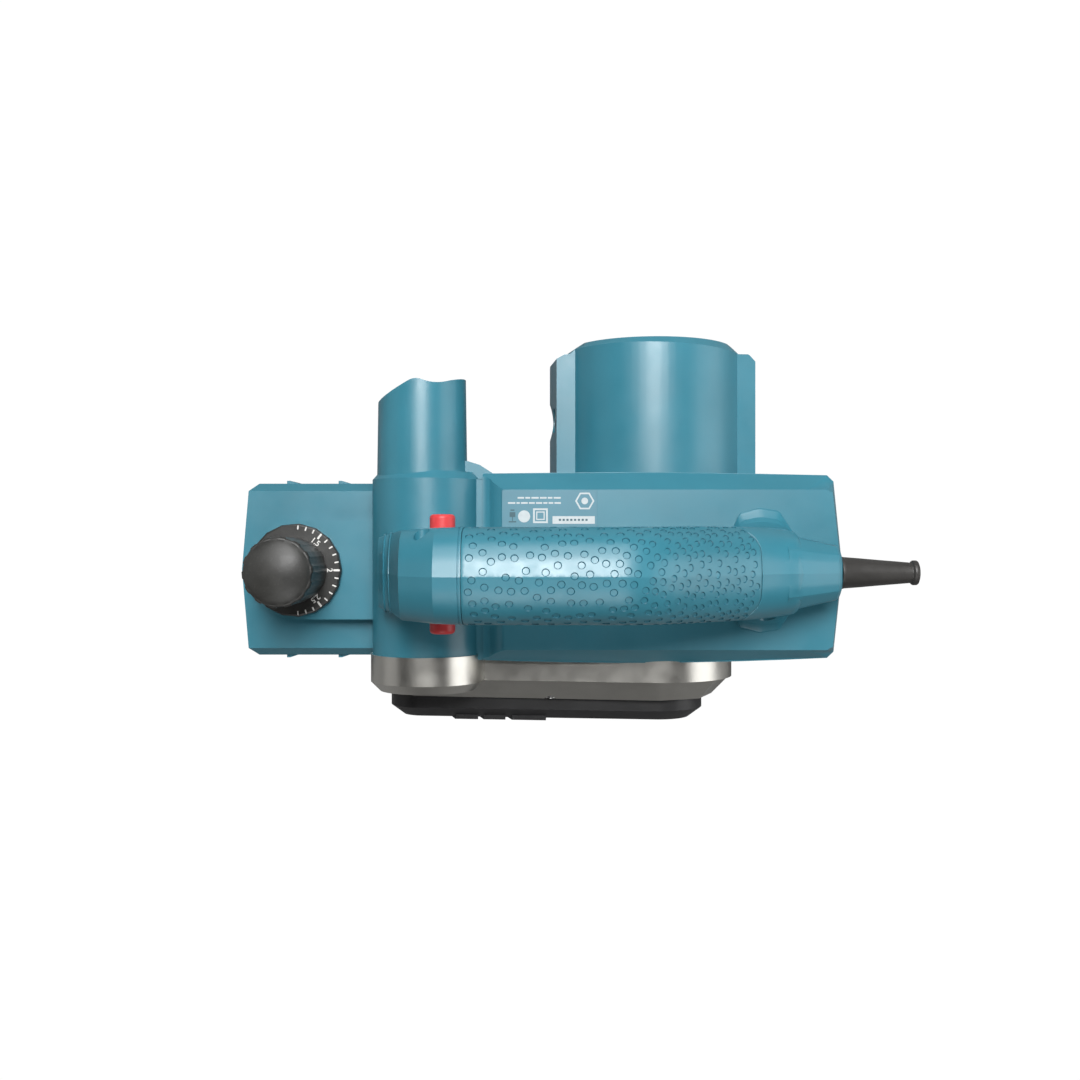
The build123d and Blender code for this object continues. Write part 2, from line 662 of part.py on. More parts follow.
with BuildPart() as cooling_fan:
    with BuildSketch(across(-14)):
        with Locations((motor_x, motor_z)):
            Circle(24)
            Circle(core_bore, mode=Mode.SUBTRACT)
    extrude(amount=2)
    with BuildSketch(across(-16)):
        with Locations((motor_x, motor_z)):
            Circle(9)
            Circle(core_bore, mode=Mode.SUBTRACT)
    extrude(amount=12)
    with BuildSketch(across(-16)):
        with Locations((motor_x, motor_z)):
            with PolarLocations(15.5, 11):
                Rectangle(16, 1.4)
    extrude(amount=11)

motor_bearing_front = ball_bearing(motor_x, motor_z, *belt_seat, 14, 6)
motor_bearing_rear = ball_bearing(motor_x, motor_z, 88, 95, 11, 4)

with BuildPart() as stator_core:
    with BuildSketch(across(54)):
        with Locations((motor_x, motor_z)):
            Circle(stator_r)
            Circle(stator_r - 7, mode=Mode.SUBTRACT)
        with BuildSketch(mode=Mode.PRIVATE) as poles:
            with Locations((motor_x, motor_z)):
                Circle(stator_r - 6)
                Circle(armature_r + 0.6, mode=Mode.SUBTRACT)
                Rectangle(60, 24, mode=Mode.SUBTRACT)
        add(poles.sketch)
    extrude(amount=44)

with BuildPart() as field_coils:
    for start, end in ((3, 10), (54, 61)):
        with BuildSketch(across(end)):
            with Locations((motor_x, motor_z)):
                Circle(stator_r - 2)
                Circle(armature_r + 1, mode=Mode.SUBTRACT)
                Rectangle(60, 6, mode=Mode.SUBTRACT)
        extrude(amount=end - start)

air_baffle = turned_ring(motor_x, motor_z, -12.5, -10.5, 30, 20)

with BuildPart() as brush_holders:
    for side in (1, -1):
        with BuildSketch(Plane.YZ.offset(side * 13)):
            with Locations((brush_y, motor_z)):
                Rectangle(10, 10)
                Rectangle(7, 7, mode=Mode.SUBTRACT)
        extrude(amount=side * 14)
        with BuildSketch(Plane.YZ.offset(side * 27)):
            with Locations((brush_y, motor_z)):
                Circle(6)
                Rectangle(7, 7, mode=Mode.SUBTRACT)
        extrude(amount=side * 17)

with BuildPart() as carbon_brushes:
    for side in (1, -1):
        with BuildSketch(Plane.YZ.offset(side * 11.1)):
            with Locations((brush_y, motor_z)):
                Rectangle(6.9, 6.9)
        extrude(amount=side * 16)

with BuildPart() as brush_caps:
    for side in (1, -1):
        with BuildSketch(Plane.YZ.offset(side * 44)):
            with Locations((brush_y, motor_z)):
                Circle(5.9)
        extrude(amount=side * 2.8)
        with BuildSketch(Plane.YZ.offset(side * 45.6)):
            with Locations((brush_y, motor_z)):
                Rectangle(7.5, 1.4)
        extrude(amount=side * 2, mode=Mode.SUBTRACT)

cap_screw_points = [(motor_x + 25 * cos(radians(a)), motor_z + 25 * sin(radians(a))) for a in (45, 135, 225, 315)]
with BuildPart() as motor_end_cap:
    with BuildSketch(across(104.5)):
        with Locations((motor_x, motor_z)):
            Circle(30.5)
    extrude(amount=4.5)
    with BuildSketch(across(100)):
        with Locations((motor_x, motor_z)):
            Circle(14)
    extrude(amount=12)
    cut_holes([(motor_x, motor_z)], 11, 80, 95)
    cut_holes([(motor_x, motor_z)], 5, 90, 97)
    with BuildSketch(across(105)):
        with Locations((motor_x, motor_z)):
            for height in (-18, -12, 12, 18):
                with Locations((0, height)):
                    SlotOverall(24, 2.4)
            for x in (-20, 20):
                for height in (-6, 0, 6):
                    with Locations((x, height)):
                        SlotOverall(11, 2.4)
    extrude(amount=6, mode=Mode.SUBTRACT)
    cut_holes(cap_screw_points, 2.1, 98, 106)

with BuildPart() as end_cap_screws:
    with BuildSketch(across(106.4)):
        with Locations(*cap_screw_points):
            Circle(3.6)
    extrude(amount=1.9)
    with BuildSketch(across(106.4)):
        with Locations(*cap_screw_points):
            RegularPolygon(1.7, 6)
    extrude(amount=1.3, mode=Mode.SUBTRACT)
    with BuildSketch(across(104.5)):
        with Locations(*cap_screw_points):
            Circle(2.1)
    extrude(amount=4.4)

# ---------------------------------------------------------------- handle
# Stations of the handle: X, ridge height, half width, height of the widest line, underside.
head_stations = [(-124.3, 100, 15.4, 94, 78), (-118.6, 111, 17.0, 100, 78), (-109.4, 149, 18.4, 135, 78),
                 (-95, 161.3, 19.2, 144, 78), (-84, 162, 19.4, 145, 78)]
grip_stations = [(-88, 161.5, 19.4, 144, 124), (-12, 162, 19.5, 145, 124), (10, 145, 19.9, 128, 110),
                 (41, 121.5, 20.0, 104, 92), (57.5, 117, 17.5, 100, 92)]


def handle_section(ridge, half_width, widest, under, inset=0.0):
    """Cross section of the handle: a low ridge, rounded shoulders and sides that draw in below."""
    half_width, ridge, under = half_width - inset, ridge - inset, under + inset
    shoulder = ridge - widest
    taper = 0.8 if widest - under < 40 else 0.93
    right = [(0.42 * half_width, ridge - 0.10 * shoulder), (0.76 * half_width, ridge - 0.36 * shoulder),
             (0.95 * half_width, ridge - 0.72 * shoulder), (half_width, widest),
             (0.98 * half_width, widest - 5), (taper * half_width, under)]
    left = [(-y, z) for y, z in reversed(right)]
    Polygon((0, ridge), *right, *left, align=None)


def handle_loft(stations, inset=0.0):
    """Ruled body through the handle's stations, drawn in by an inset."""
    sections = []
    for station in stations:
        with BuildSketch(along(station[0])) as section:
            handle_section(*station[1:], inset)
        sections.append(section.sketch)
    loft(sections, ruled=True)


with BuildPart() as grip_form:
    handle_loft(grip_stations)

with BuildPart() as grip_core:
    handle_loft(grip_stations, skin)

with BuildPart() as end_form:
    handle_loft(head_stations)
    with BuildSketch(across(30)):
        Polygon((grip_front, 76), (grip_front, 130), (-70, 130), (-70, 76), align=None)
    extrude(amount=60, mode=Mode.SUBTRACT)
    with BuildSketch(Plane.XY.offset(80)):
        Polygon((29, 12), (35, 26), (44, 28.5), (53, 27), (59.5, 17), (59.5, -16), (53, -25.5), (44, -27),
                (35, -24.5), (29, -12), align=None)
    with BuildSketch(Plane.XY.offset(96)):
        Polygon((31, 12), (35, 18.5), (44, 19.5), (53, 18.5), (58, 16), (58, -16), (53, -18.5), (44, -19.5),
                (35, -18.5), (31, -12), align=None)
    loft(ruled=True)
    with BuildSketch(along(57)):
        Polygon((-15.3, 93), (-15.3, 106), (-10, 114), (0, 116), (10, 114), (15.3, 106), (15.3, 93),
                (8, 89), (-8, 89), align=None)
    with BuildSketch(along(boss_end)):
        Polygon((-11.6, 94), (-11.6, 103), (-8, 107), (0, 108), (8, 107), (11.6, 103), (11.6, 94),
                (7, 92), (-7, 92), align=None)
    loft(ruled=True)

with BuildPart() as handle_form:
    add(grip_form.part)
    with BuildSketch(Plane.XY.offset(70)):
        Polygon((grip_front, 30), (grip_rear, 30), (grip_rear, -30), (grip_front, -30), align=None)
    extrude(amount=100, mode=Mode.SUBTRACT)
    add(grip_core.part)
    add(end_form.part)
    add(housing_form.part, mode=Mode.SUBTRACT)
    # hollow for the switch and the wires
    with BuildSketch(along(-84)):
        Polygon((-12.5, 130), (-14, 146), (-7, 154), (7, 154), (14, 146), (12.5, 130), align=None)
    with BuildSketch(along(-13)):
        Polygon((-12.5, 130), (-14, 146), (-7, 154), (7, 154), (14, 146), (12.5, 130), align=None)
    loft(ruled=True, mode=Mode.SUBTRACT)
    with BuildSketch(along(-13)):
        Polygon((-10, 130), (-12, 146), (-7, 152), (7, 152), (12, 146), (10, 130), align=None)
    with BuildSketch(along(40)):
        Polygon((-10, 98), (-12, 106), (-7, 112), (7, 112), (12, 106), (10, 98), align=None)
    loft(ruled=True, mode=Mode.SUBTRACT)
    with BuildSketch(Plane.XY.offset(78)):
        with Locations((40, 0)):
            Circle(5)
    extrude(amount=22, mode=Mode.SUBTRACT)
    with BuildSketch(Plane.XY.offset(94)):
        Polygon((39, 9), (64, 9), (64, -9), (39, -9), align=None)
    extrude(amount=13, mode=Mode.SUBTRACT)
    # trigger window
    with BuildSketch(Plane.XY.offset(118)):
        Polygon(*window_plan, align=None)
    extrude(amount=15, mode=Mode.SUBTRACT)
    # cross bore of the lock button, wider in the middle for its springs
    cut_holes([(lock_x, lock_z)], lock_r + 0.1, -25, 25)
    cut_holes([(lock_x, lock_z)], 6.5, -12, 12)
    cut_holes(handle_screw_points, 1.9, -12, 9)
    cut_holes(handle_screw_points, 3.7, -30, -11)
    # seat of the cord gland
    for start, end, radius in ((64, boss_end + 1, 6), (66, 68.5, 8)):
        with BuildSketch(along(start)):
            with Locations((0, gland_z)):
                Circle(radius)
        extrude(amount=end - start, mode=Mode.SUBTRACT)

with BuildPart() as handle_shell_left:
    add(handle_form.part)
    split(bisect_by=Plane.XZ, keep=Keep.BOTTOM)

with BuildPart() as handle_shell_right:
    add(handle_form.part)
    split(bisect_by=Plane.XZ, keep=Keep.TOP)

with BuildPart() as soft_grip:
    add(grip_form.part)
    for start, end in ((-100, grip_front), (grip_rear, 70)):
        with BuildSketch(along(start)):
            Rectangle(60, 400)
        extrude(amount=end - start, mode=Mode.SUBTRACT)
    add(grip_core.part, mode=Mode.SUBTRACT)
    add(end_form.part, mode=Mode.SUBTRACT)
    with BuildSketch(Plane.XY.offset(118)):
        Polygon(*window_plan, align=None)
    extrude(amount=15, mode=Mode.SUBTRACT)

handle_screws = side_screws(handle_screw_points, 3.6, (-13.4, -11), 1.9, 8.5)

with BuildPart() as name_plate:
    with BuildSketch(Plane.XY.offset(roof_z)):
        Polygon((-71, -6), (-71, 36.4), (-28.5, 36.4), (-28.5, -6), align=None)
    extrude(amount=0.35)

# ---------------------------------------------------------------- controls
with BuildPart() as trigger:
    with BuildSketch(across(8)):
        with BuildLine():
            Polyline((-47, 118), (-47, 130), (-79, 130), (-79, 114.5))
            ThreePointArc((-79, 114.5), (-64, 118.0), (-47, 118))
        make_face()
    extrude(amount=16)

trigger_spring = coil_spring(Plane((-62, 0, 130.1)), 3.5, 0.4, 6.1, 5)

with BuildPart() as switch_body:
    with BuildSketch(Plane.XY.offset(136.5)):
        Polygon((-82, 9), (-44, 9), (-44, -9), (-82, -9), align=None)
    extrude(amount=14)

with BuildPart() as lock_button:
    with BuildSketch(across(lock_end)):
        with Locations((lock_x, lock_z)):
            Circle(lock_r)
    extrude(amount=2 * lock_end)
    fillet(lock_button.edges(), 1.6)
    for start, end, core in ((-11.8, -2, 3.2), (-2, 2, 4.1), (2, 11.8, 3.2)):
        with BuildSketch(across(end)):
            with Locations((lock_x, lock_z)):
                Circle(lock_r + 1)
                Circle(core, mode=Mode.SUBTRACT)
        extrude(amount=end - start, mode=Mode.SUBTRACT)

with BuildPart() as lock_spring:
    with BuildSketch(Plane.YZ.offset(lock_x - 2)):
        Polygon((-11.5, lock_z + 5.9), (-11.5, lock_z + 5.4), (-3.4, lock_z + 5.4), (-2.8, lock_z + 4.2),
                (-2.3, lock_z + 4.2), (-2.9, lock_z + 5.4), (11.5, lock_z + 5.4), (11.5, lock_z + 5.9),
                align=None)
    extrude(amount=4)

with BuildPart() as capacitor:
    with BuildSketch(along(-34)):
        with Locations((0, 141)):
            Circle(7.5)
    extrude(amount=20)
    fillet(capacitor.edges(), 1)

# ---------------------------------------------------------------- cord entry
with BuildPart() as cord_gland:
    for start, end, radius in ((64, boss_end, 6), (66, 68.5, 8)):
        with BuildSketch(along(start)):
            with Locations((0, gland_z)):
                Circle(radius)
        extrude(amount=end - start)
    with BuildSketch(along(boss_end)):
        with Locations((0, gland_z)):
            Circle(6.6)
    with BuildSketch(along(gland_tip - 2.5)):
        with Locations((0, gland_z)):
            Circle(4.6)
    loft()
    with BuildSketch(along(gland_tip - 2.5)):
        with Locations((0, gland_z)):
            Circle(5.3)
    extrude(amount=2.5)
    with BuildSketch(along(60)):
        with Locations((0, gland_z)):
            Circle(cord_r)
    extrude(amount=60, mode=Mode.SUBTRACT)

with BuildPart() as cord_clamp:
    with BuildSketch(along(51)):
        with Locations((0, 104)):
            Rectangle(17, 5)
        with Locations((0, gland_z)):
            Circle(cord_r, mode=Mode.SUBTRACT)
    extrude(amount=8)
    with BuildSketch(Plane.XY.offset(95)):
        with Locations(*clamp_screw_points):
            Circle(1.5)
    extrude(amount=15, mode=Mode.SUBTRACT)

with BuildPart() as cord_clamp_screws:
    with BuildSketch(Plane.XY.offset(94.2)):
        with Locations(*clamp_screw_points):
            Circle(1.5)
    extrude(amount=12.3)
    with BuildSketch(Plane.XY.offset(99)):
        with Locations(*clamp_screw_points):
            Circle(2.6)
    extrude(amount=2.4)

# ---------------------------------------------------------------- hand over
pieces = {
    "main_housing": main_housing, "drive_housing": drive_housing, "belt_cover": belt_cover,
    "belt_cover_screws": belt_cover_screws, "drive_housing_screws": drive_housing_screws,
    "rear_sole": rear_sole, "front_shoe": front_shoe, "sole_screws": sole_screws,
    "depth_spindle": depth_spindle, "scale_ring": scale_ring, "depth_knob": depth_knob,
    "shoe_spring": shoe_spring, "cutter_drum": cutter_drum, "blades": blades, "blade_clamps": blade_clamps,
    "clamp_screws": clamp_screws, "drum_bearing_belt_side": drum_bearing_belt_side,
    "drum_bearing_motor_side": drum_bearing_motor_side, "drum_pulley": drum_pulley,
    "motor_pulley": motor_pulley, "drum_pulley_nut": drum_pulley_nut, "motor_pulley_nut": motor_pulley_nut,
    "drive_belt": drive_belt, "armature_shaft": armature_shaft, "armature_core": armature_core,
    "armature_windings": armature_windings, "commutator": commutator, "cooling_fan": cooling_fan,
    "motor_bearing_front": motor_bearing_front, "motor_bearing_rear": motor_bearing_rear,
    "stator_core": stator_core, "field_coils": field_coils, "air_baffle": air_baffle,
    "brush_holders": brush_holders, "carbon_brushes": carbon_brushes, "brush_caps": brush_caps,
    "motor_end_cap": motor_end_cap, "end_cap_screws": end_cap_screws,
    "handle_shell_left": handle_shell_left, "handle_shell_right": handle_shell_right,
    "soft_grip": soft_grip, "handle_screws": handle_screws, "name_plate": name_plate, "trigger": trigger,
    "trigger_spring": trigger_spring, "switch_body": switch_body, "lock_button": lock_button,
    "lock_spring": lock_spring, "capacitor": capacitor, "cord_gland": cord_gland,
    "cord_clamp": cord_clamp, "cord_clamp_screws": cord_clamp_screws,
}
for name, piece in pieces.items():
    piece.part.label = name
    export_step(piece.part, f"parts/{name}.step")
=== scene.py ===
"""Electric hand planer: visible surfaces, materials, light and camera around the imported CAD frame."""
import json
from math import cos, pi, radians, sin, tan

import bmesh
import bpy
import numpy as np
from mathutils import Matrix, Vector
from mathutils.geometry import delaunay_2d_cdt


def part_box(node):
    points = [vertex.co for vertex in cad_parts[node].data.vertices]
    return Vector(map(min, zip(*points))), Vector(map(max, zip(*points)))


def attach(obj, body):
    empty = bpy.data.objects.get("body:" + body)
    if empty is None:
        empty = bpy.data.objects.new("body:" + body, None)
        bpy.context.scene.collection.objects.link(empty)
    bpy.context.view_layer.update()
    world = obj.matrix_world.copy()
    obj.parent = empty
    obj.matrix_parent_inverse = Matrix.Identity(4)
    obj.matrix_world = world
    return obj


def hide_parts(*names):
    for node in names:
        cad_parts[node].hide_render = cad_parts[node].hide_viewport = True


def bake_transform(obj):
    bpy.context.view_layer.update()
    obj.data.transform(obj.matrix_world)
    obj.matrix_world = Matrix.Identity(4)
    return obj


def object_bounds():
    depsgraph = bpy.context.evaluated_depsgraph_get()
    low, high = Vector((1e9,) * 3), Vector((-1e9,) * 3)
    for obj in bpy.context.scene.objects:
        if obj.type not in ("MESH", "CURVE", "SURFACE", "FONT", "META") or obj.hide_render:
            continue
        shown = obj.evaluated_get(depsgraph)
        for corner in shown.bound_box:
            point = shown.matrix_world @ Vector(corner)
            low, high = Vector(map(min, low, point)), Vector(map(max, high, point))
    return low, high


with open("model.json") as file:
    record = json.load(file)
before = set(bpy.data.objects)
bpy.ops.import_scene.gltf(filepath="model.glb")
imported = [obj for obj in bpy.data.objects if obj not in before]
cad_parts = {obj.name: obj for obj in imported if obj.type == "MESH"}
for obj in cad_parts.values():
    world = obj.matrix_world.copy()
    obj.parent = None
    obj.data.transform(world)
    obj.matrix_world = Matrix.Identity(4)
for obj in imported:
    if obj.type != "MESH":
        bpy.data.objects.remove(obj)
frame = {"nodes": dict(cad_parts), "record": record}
cad_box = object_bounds()
nodes = frame["nodes"]
record = frame["record"]
body_of = {n: body for body, members in record["behaviour"]["bodies"].items() for n in members}
slot_of = {part["node"]: part["material_slot"] for part in record["subparts"]}
scene = bpy.context.scene
MM = 0.001


# ---------------------------------------------------------------- materials
def shader(name, colour, rough, **settings):
    """Empty Principled material with its constant values set on the shader's own sockets."""
    material = bpy.data.materials.new(name)
    material.use_nodes = True
    bsdf = material.node_tree.nodes["Principled BSDF"]
    bsdf.inputs["Base Color"].default_value = (*colour, 1)
    bsdf.inputs["Roughness"].default_value = rough
    for socket, value in settings.items():
        bsdf.inputs[socket].default_value = value
    return material, material.node_tree, bsdf


def noise(tree, coordinates, scale, detail=3.0, roughness=0.55):
    """Noise value, with its scale in cells to the metre."""
    node = tree.nodes.new("ShaderNodeTexNoise")
    node.inputs["Scale"].default_value = scale
    node.inputs["Detail"].default_value = detail
    node.inputs["Roughness"].default_value = roughness
    tree.links.new(coordinates, node.inputs["Vector"])
    return node.outputs["Fac"]


def remap(tree, value, low, high, to_low, to_high):
    """Value moved from one range to another, clamped."""
    node = tree.nodes.new("ShaderNodeMapRange")
    for socket, number in zip(("From Min", "From Max", "To Min", "To Max"), (low, high, to_low, to_high)):
        node.inputs[socket].default_value = number
    tree.links.new(value, node.inputs["Value"])
    return node.outputs["Result"]


def mix(tree, factor, first, second):
    """Colour mix: each side is an RGB tuple or an output socket."""
    node = tree.nodes.new("ShaderNodeMix")
    node.data_type = "RGBA"
    tree.links.new(factor, node.inputs["Factor"])
    for socket, side in (("A", first), ("B", second)):
        target = [i for i in node.inputs if i.name == socket and i.type == "RGBA"][0]
        if isinstance(side, tuple):
            target.default_value = (*side, 1)
        else:
            tree.links.new(side, target)
    return [o for o in node.outputs if o.type == "RGBA"][0]


def finish(name, colour, rough, mottle=0.10, mottle_scale=45.0, speckle=0.0, speckle_scale=1400.0,
           rough_swing=0.06, rough_scale=70.0, grain=0.02, grain_scale=1500.0, dust=None,
           stretch=(1.0, 1.0, 1.0), **settings):
    """Procedural surface: drifting tone, fine specks, a dusty veil, uneven gloss and moulded grain."""
    material, tree, bsdf = shader(name, colour, rough, **settings)
    place = tree.nodes.new("ShaderNodeTexCoord").outputs["Object"]
    if stretch != (1.0, 1.0, 1.0):
        mapping = tree.nodes.new("ShaderNodeMapping")
        mapping.inputs["Scale"].default_value = stretch
        tree.links.new(place, mapping.inputs["Vector"])
        place = mapping.outputs["Vector"]
    tone = remap(tree, noise(tree, place, mottle_scale, 5), 0.3, 0.7, 0, 1)
    tinted = mix(tree, tone, tuple(c * (1 - mottle) for c in colour), tuple(c * (1 + mottle) for c in colour))
    if speckle:
        specks = remap(tree, noise(tree, place, speckle_scale, 1), 0.60, 0.72, 0, speckle)
        tinted = mix(tree, specks, tinted, tuple(min(1, c * 1.6 + 0.06) for c in colour))
    if dust:
        veil = remap(tree, noise(tree, place, 22, 6, 0.7), 0.52, 0.78, 0, dust[1])
        tinted = mix(tree, veil, tinted, dust[0])
    tree.links.new(tinted, bsdf.inputs["Base Color"])
    gloss = remap(tree, noise(tree, place, rough_scale, 6, 0.65), 0.3, 0.7, rough - rough_swing, rough + rough_swing)
    tree.links.new(gloss, bsdf.inputs["Roughness"])
    if grain:
        bump = tree.nodes.new("ShaderNodeBump")
        bump.inputs["Strength"].default_value = 1.0
        bump.inputs["Distance"].default_value = grain * MM
        tree.links.new(noise(tree, place, grain_scale, 2), bump.inputs["Height"])
        tree.links.new(bump.outputs["Normal"], bsdf.inputs["Normal"])
    return material


TEAL = (0.036, 0.200, 0.270)
materials = {
    "body_plastic": finish("body_plastic", TEAL, 0.35, mottle=0.05, grain=0.006, grain_scale=1900,
                           rough_swing=0.05, **{"Specular IOR Level": 0.75}),
    "grip_rubber": finish("grip_rubber", (0.034, 0.195, 0.262), 0.36, mottle=0.06, grain=0.010,
                          grain_scale=1500, rough_swing=0.05, rough_scale=160, **{"Specular IOR Level": 0.8}),
    "name_plate": finish("name_plate", (0.085, 0.235, 0.305), 0.36, mottle=0.04, grain=0.004, grain_scale=900,
                         rough_swing=0.04),
    "cast_aluminium": finish("cast_aluminium", (0.68, 0.665, 0.62), 0.32, mottle=0.05, mottle_scale=60,
                             rough_swing=0.04, rough_scale=120, grain=0.01, grain_scale=1100,
                             dust=((0.16, 0.14, 0.10), 0.12), Metallic=1.0),
    "black_plastic": finish("black_plastic", (0.017, 0.017, 0.018), 0.42, mottle=0.15, speckle=0.05, grain=0.015,
                            rough_swing=0.08),
    "black_rubber": finish("black_rubber", (0.040, 0.038, 0.036), 0.42, mottle=0.2, grain=0.02, rough_swing=0.08),
    "red_plastic": finish("red_plastic", (0.70, 0.055, 0.06), 0.38, mottle=0.06, grain=0.006, rough_swing=0.05),
    "steel": finish("steel", (0.58, 0.58, 0.57), 0.30, mottle=0.10, mottle_scale=200, grain=0.01,
                    grain_scale=2600, rough_swing=0.10, rough_scale=300, Metallic=1.0),
    "carbide": finish("carbide", (0.42, 0.43, 0.45), 0.22, mottle=0.06, grain=0.006, grain_scale=500,
                      rough_swing=0.06, stretch=(12.0, 1.0, 12.0), Metallic=1.0),
    "pulley_metal": finish("pulley_metal", (0.55, 0.55, 0.54), 0.33, mottle=0.08, grain=0.01, grain_scale=900,
                           rough_swing=0.08, stretch=(1.0, 9.0, 1.0), Metallic=1.0),
    "copper": finish("copper", (0.70, 0.33, 0.17), 0.32, mottle=0.15, mottle_scale=300, grain=0.05,
                     grain_scale=1300, rough_swing=0.08, stretch=(1.0, 0.2, 1.0), Metallic=1.0),
    "brass": finish("brass", (0.70, 0.55, 0.25), 0.30, mottle=0.08, grain=0.008, rough_swing=0.08, Metallic=1.0),
    "carbon": finish("carbon", (0.03, 0.03, 0.032), 0.55, mottle=0.2, speckle=0.1, grain=0.02),
    "fan_plastic": finish("fan_plastic", (0.16, 0.15, 0.13), 0.5, mottle=0.1, grain=0.015),
    # Darker teal for the walls of the grip's dimples: painted shade that stands for the shade falling in these small
    # recesses.
    "dimple_wall_painted_shade": finish("dimple_wall_painted_shade", (0.010, 0.105, 0.150), 0.6, mottle=0.08, grain=0.01),
    "knob_plastic": finish("knob_plastic", (0.032, 0.032, 0.030), 0.42, mottle=0.25, mottle_scale=70, speckle=0.12,
                           speckle_scale=900, grain=0.02, grain_scale=1200, rough_swing=0.09,
                           dust=((0.10, 0.095, 0.085), 0.22)),
    "white_paint": finish("white_paint", (0.78, 0.77, 0.74), 0.5, mottle=0.06, mottle_scale=500, grain=0.01),
    "pale_print": finish("pale_print", (0.52, 0.58, 0.60), 0.42, mottle=0.05, mottle_scale=500, grain=0.004),
    "dark_print": finish("dark_print", (0.03, 0.10, 0.13), 0.42, mottle=0.05, mottle_scale=500, grain=0.004),
}


# ---------------------------------------------------------------- mesh helpers
def new_object(name, mesh, material, body, replaced=(), second=None):
    """Link a finished mesh as a piece that rides on a body; second is the material of its faces of index 1."""
    piece = bpy.data.objects.new(name, mesh)
    scene.collection.objects.link(piece)
    if mesh.materials:
        mesh.materials.clear()
    for surface in filter(None, (material, second)):
        mesh.materials.append(materials[surface])
    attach(piece, body)
    if replaced:
        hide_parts(*replaced)
    return piece


def loose(mesh):
    """Temporary object for a modifier."""
    piece = bpy.data.objects.new("tool", mesh)
    scene.collection.objects.link(piece)
    return piece


def baked(piece):
    """Mesh of an object with its modifiers applied; the object goes."""
    bpy.context.view_layer.update()
    mesh = bpy.data.meshes.new_from_object(piece.evaluated_get(bpy.context.evaluated_depsgraph_get()))
    bpy.data.objects.remove(piece)
    return mesh


def smoothed(mesh, angle=28.0):
    """Smooth shading, with a crease where faces meet at more than an angle in degrees."""
    mesh.polygons.foreach_set("use_smooth", [True] * len(mesh.polygons))
    mesh.set_sharp_from_angle(angle=radians(angle))
    return mesh


def make_mesh(name, points_mm, faces, angle=28.0):
    """Mesh from points in millimetres, its normals outward."""
    mesh = bpy.data.meshes.new(name)
    mesh.from_pydata([tuple(c * MM for c in p) for p in points_mm], [], [tuple(int(i) for i in f) for f in faces])
    bm = bmesh.new()
    bm.from_mesh(mesh)
    bmesh.ops.recalc_face_normals(bm, faces=bm.faces)
    bm.to_mesh(mesh)
    bm.free()
    return smoothed(mesh, angle)


def skin(ring_count, count):
    """Faces between successive rings of count points."""
    faces = []
    for a in range(0, (ring_count - 1) * count, count):
        b = a + count
        faces += [(a + k, a + (k + 1) % count, b + (k + 1) % count, b + k) for k in range(count)]
    return faces


def loft(name, rings, angle=28.0):
    """Closed skin through rings of equal length, each a list of (x, y, z), with a cap on each end."""
    count = len(rings[0])
    points = [tuple(p) for ring in rings for p in ring]
    caps = [tuple(range(count)), tuple(range(len(points) - count, len(points)))]
    return make_mesh(name, points, skin(len(rings), count) + caps, angle)


def loop_loft(name, rings, angle):
    """Closed skin through rings that lead back to the first one, for a piece with a bore."""
    closed = rings + [rings[0]]
    points = [tuple(p) for ring in closed for p in ring]
    mesh = make_mesh(name, points, skin(len(closed), len(rings[0])), angle)
    bm = bmesh.new()
    bm.from_mesh(mesh)
    bmesh.ops.remove_doubles(bm, verts=bm.verts, dist=1e-6)
    bmesh.ops.recalc_face_normals(bm, faces=bm.faces)
    bm.to_mesh(mesh)
    bm.free()
    return smoothed(mesh, angle)


def prism(outline, axis, start, end):
    """Closed prism: outline in the two other axes, in order, between start and end along axis."""
    def place(pair, level):
        values = list(pair)
        values.insert(axis, level)
        return tuple(values)
    return loft("prism", [[place(p, start) for p in outline], [place(p, end) for p in outline]])


def disc_outline(cx, cy, radius, count=32):
    """Round outline, counter-clockwise."""
    return [(cx + radius * cos(2 * pi * k / count), cy + radius * sin(2 * pi * k / count)) for k in range(count)]


def joined(name, meshes):
    """One mesh from several."""
    bm = bmesh.new()
    for mesh in meshes:
        bm.from_mesh(mesh)
    result = bpy.data.meshes.new(name)
    bm.to_mesh(result)
    bm.free()
    return smoothed(result)


def boolean(mesh, tool, operation):
    """Mesh after an exact boolean with a tool, which goes."""
    piece, cutter = loose(mesh), loose(tool)
    modifier = piece.modifiers.new("cut", "BOOLEAN")
    modifier.operation, modifier.solver, modifier.object = operation, "EXACT", cutter
    modifier.use_self = True
    result = baked(piece)
    bpy.data.objects.remove(cutter)
    return result


def cleaned(mesh):
    """Weld and merge flat neighbours, so that edges bevel cleanly."""
    bm = bmesh.new()
    bm.from_mesh(mesh)
    bmesh.ops.remove_doubles(bm, verts=bm.verts, dist=2e-6)
    bmesh.ops.dissolve_degenerate(bm, dist=1e-6, edges=bm.edges)
    bmesh.ops.dissolve_limit(bm, angle_limit=radians(0.6), verts=bm.verts, edges=bm.edges)
    result = bpy.data.meshes.new(mesh.name + "_clean")
    bm.to_mesh(result)
    bm.free()
    return result


def edge_rounded(mesh, width, segments):
    """Mesh with every distinct edge rounded to a width in millimetres."""
    piece = loose(mesh)
    bevel = piece.modifiers.new("bevel", "BEVEL")
    bevel.width, bevel.segments = width * MM, segments
    bevel.limit_method, bevel.angle_limit = "ANGLE", radians(26)
    bevel.use_clamp_overlap = True
    piece = loose(smoothed(baked(piece), 33))
    weighted = piece.modifiers.new("weighted", "WEIGHTED_NORMAL")
    weighted.mode, weighted.keep_sharp, weighted.weight = "FACE_AREA", True, 60
    return baked(piece)


def refine(node, width, segments=2):
    """Copy of a CAD node with rounded edges, which stands for it."""
    mesh = edge_rounded(cleaned(nodes[node].data), width, segments)
    return new_object(node + "_finished", mesh, slot_of[node], body_of[node], (node,))


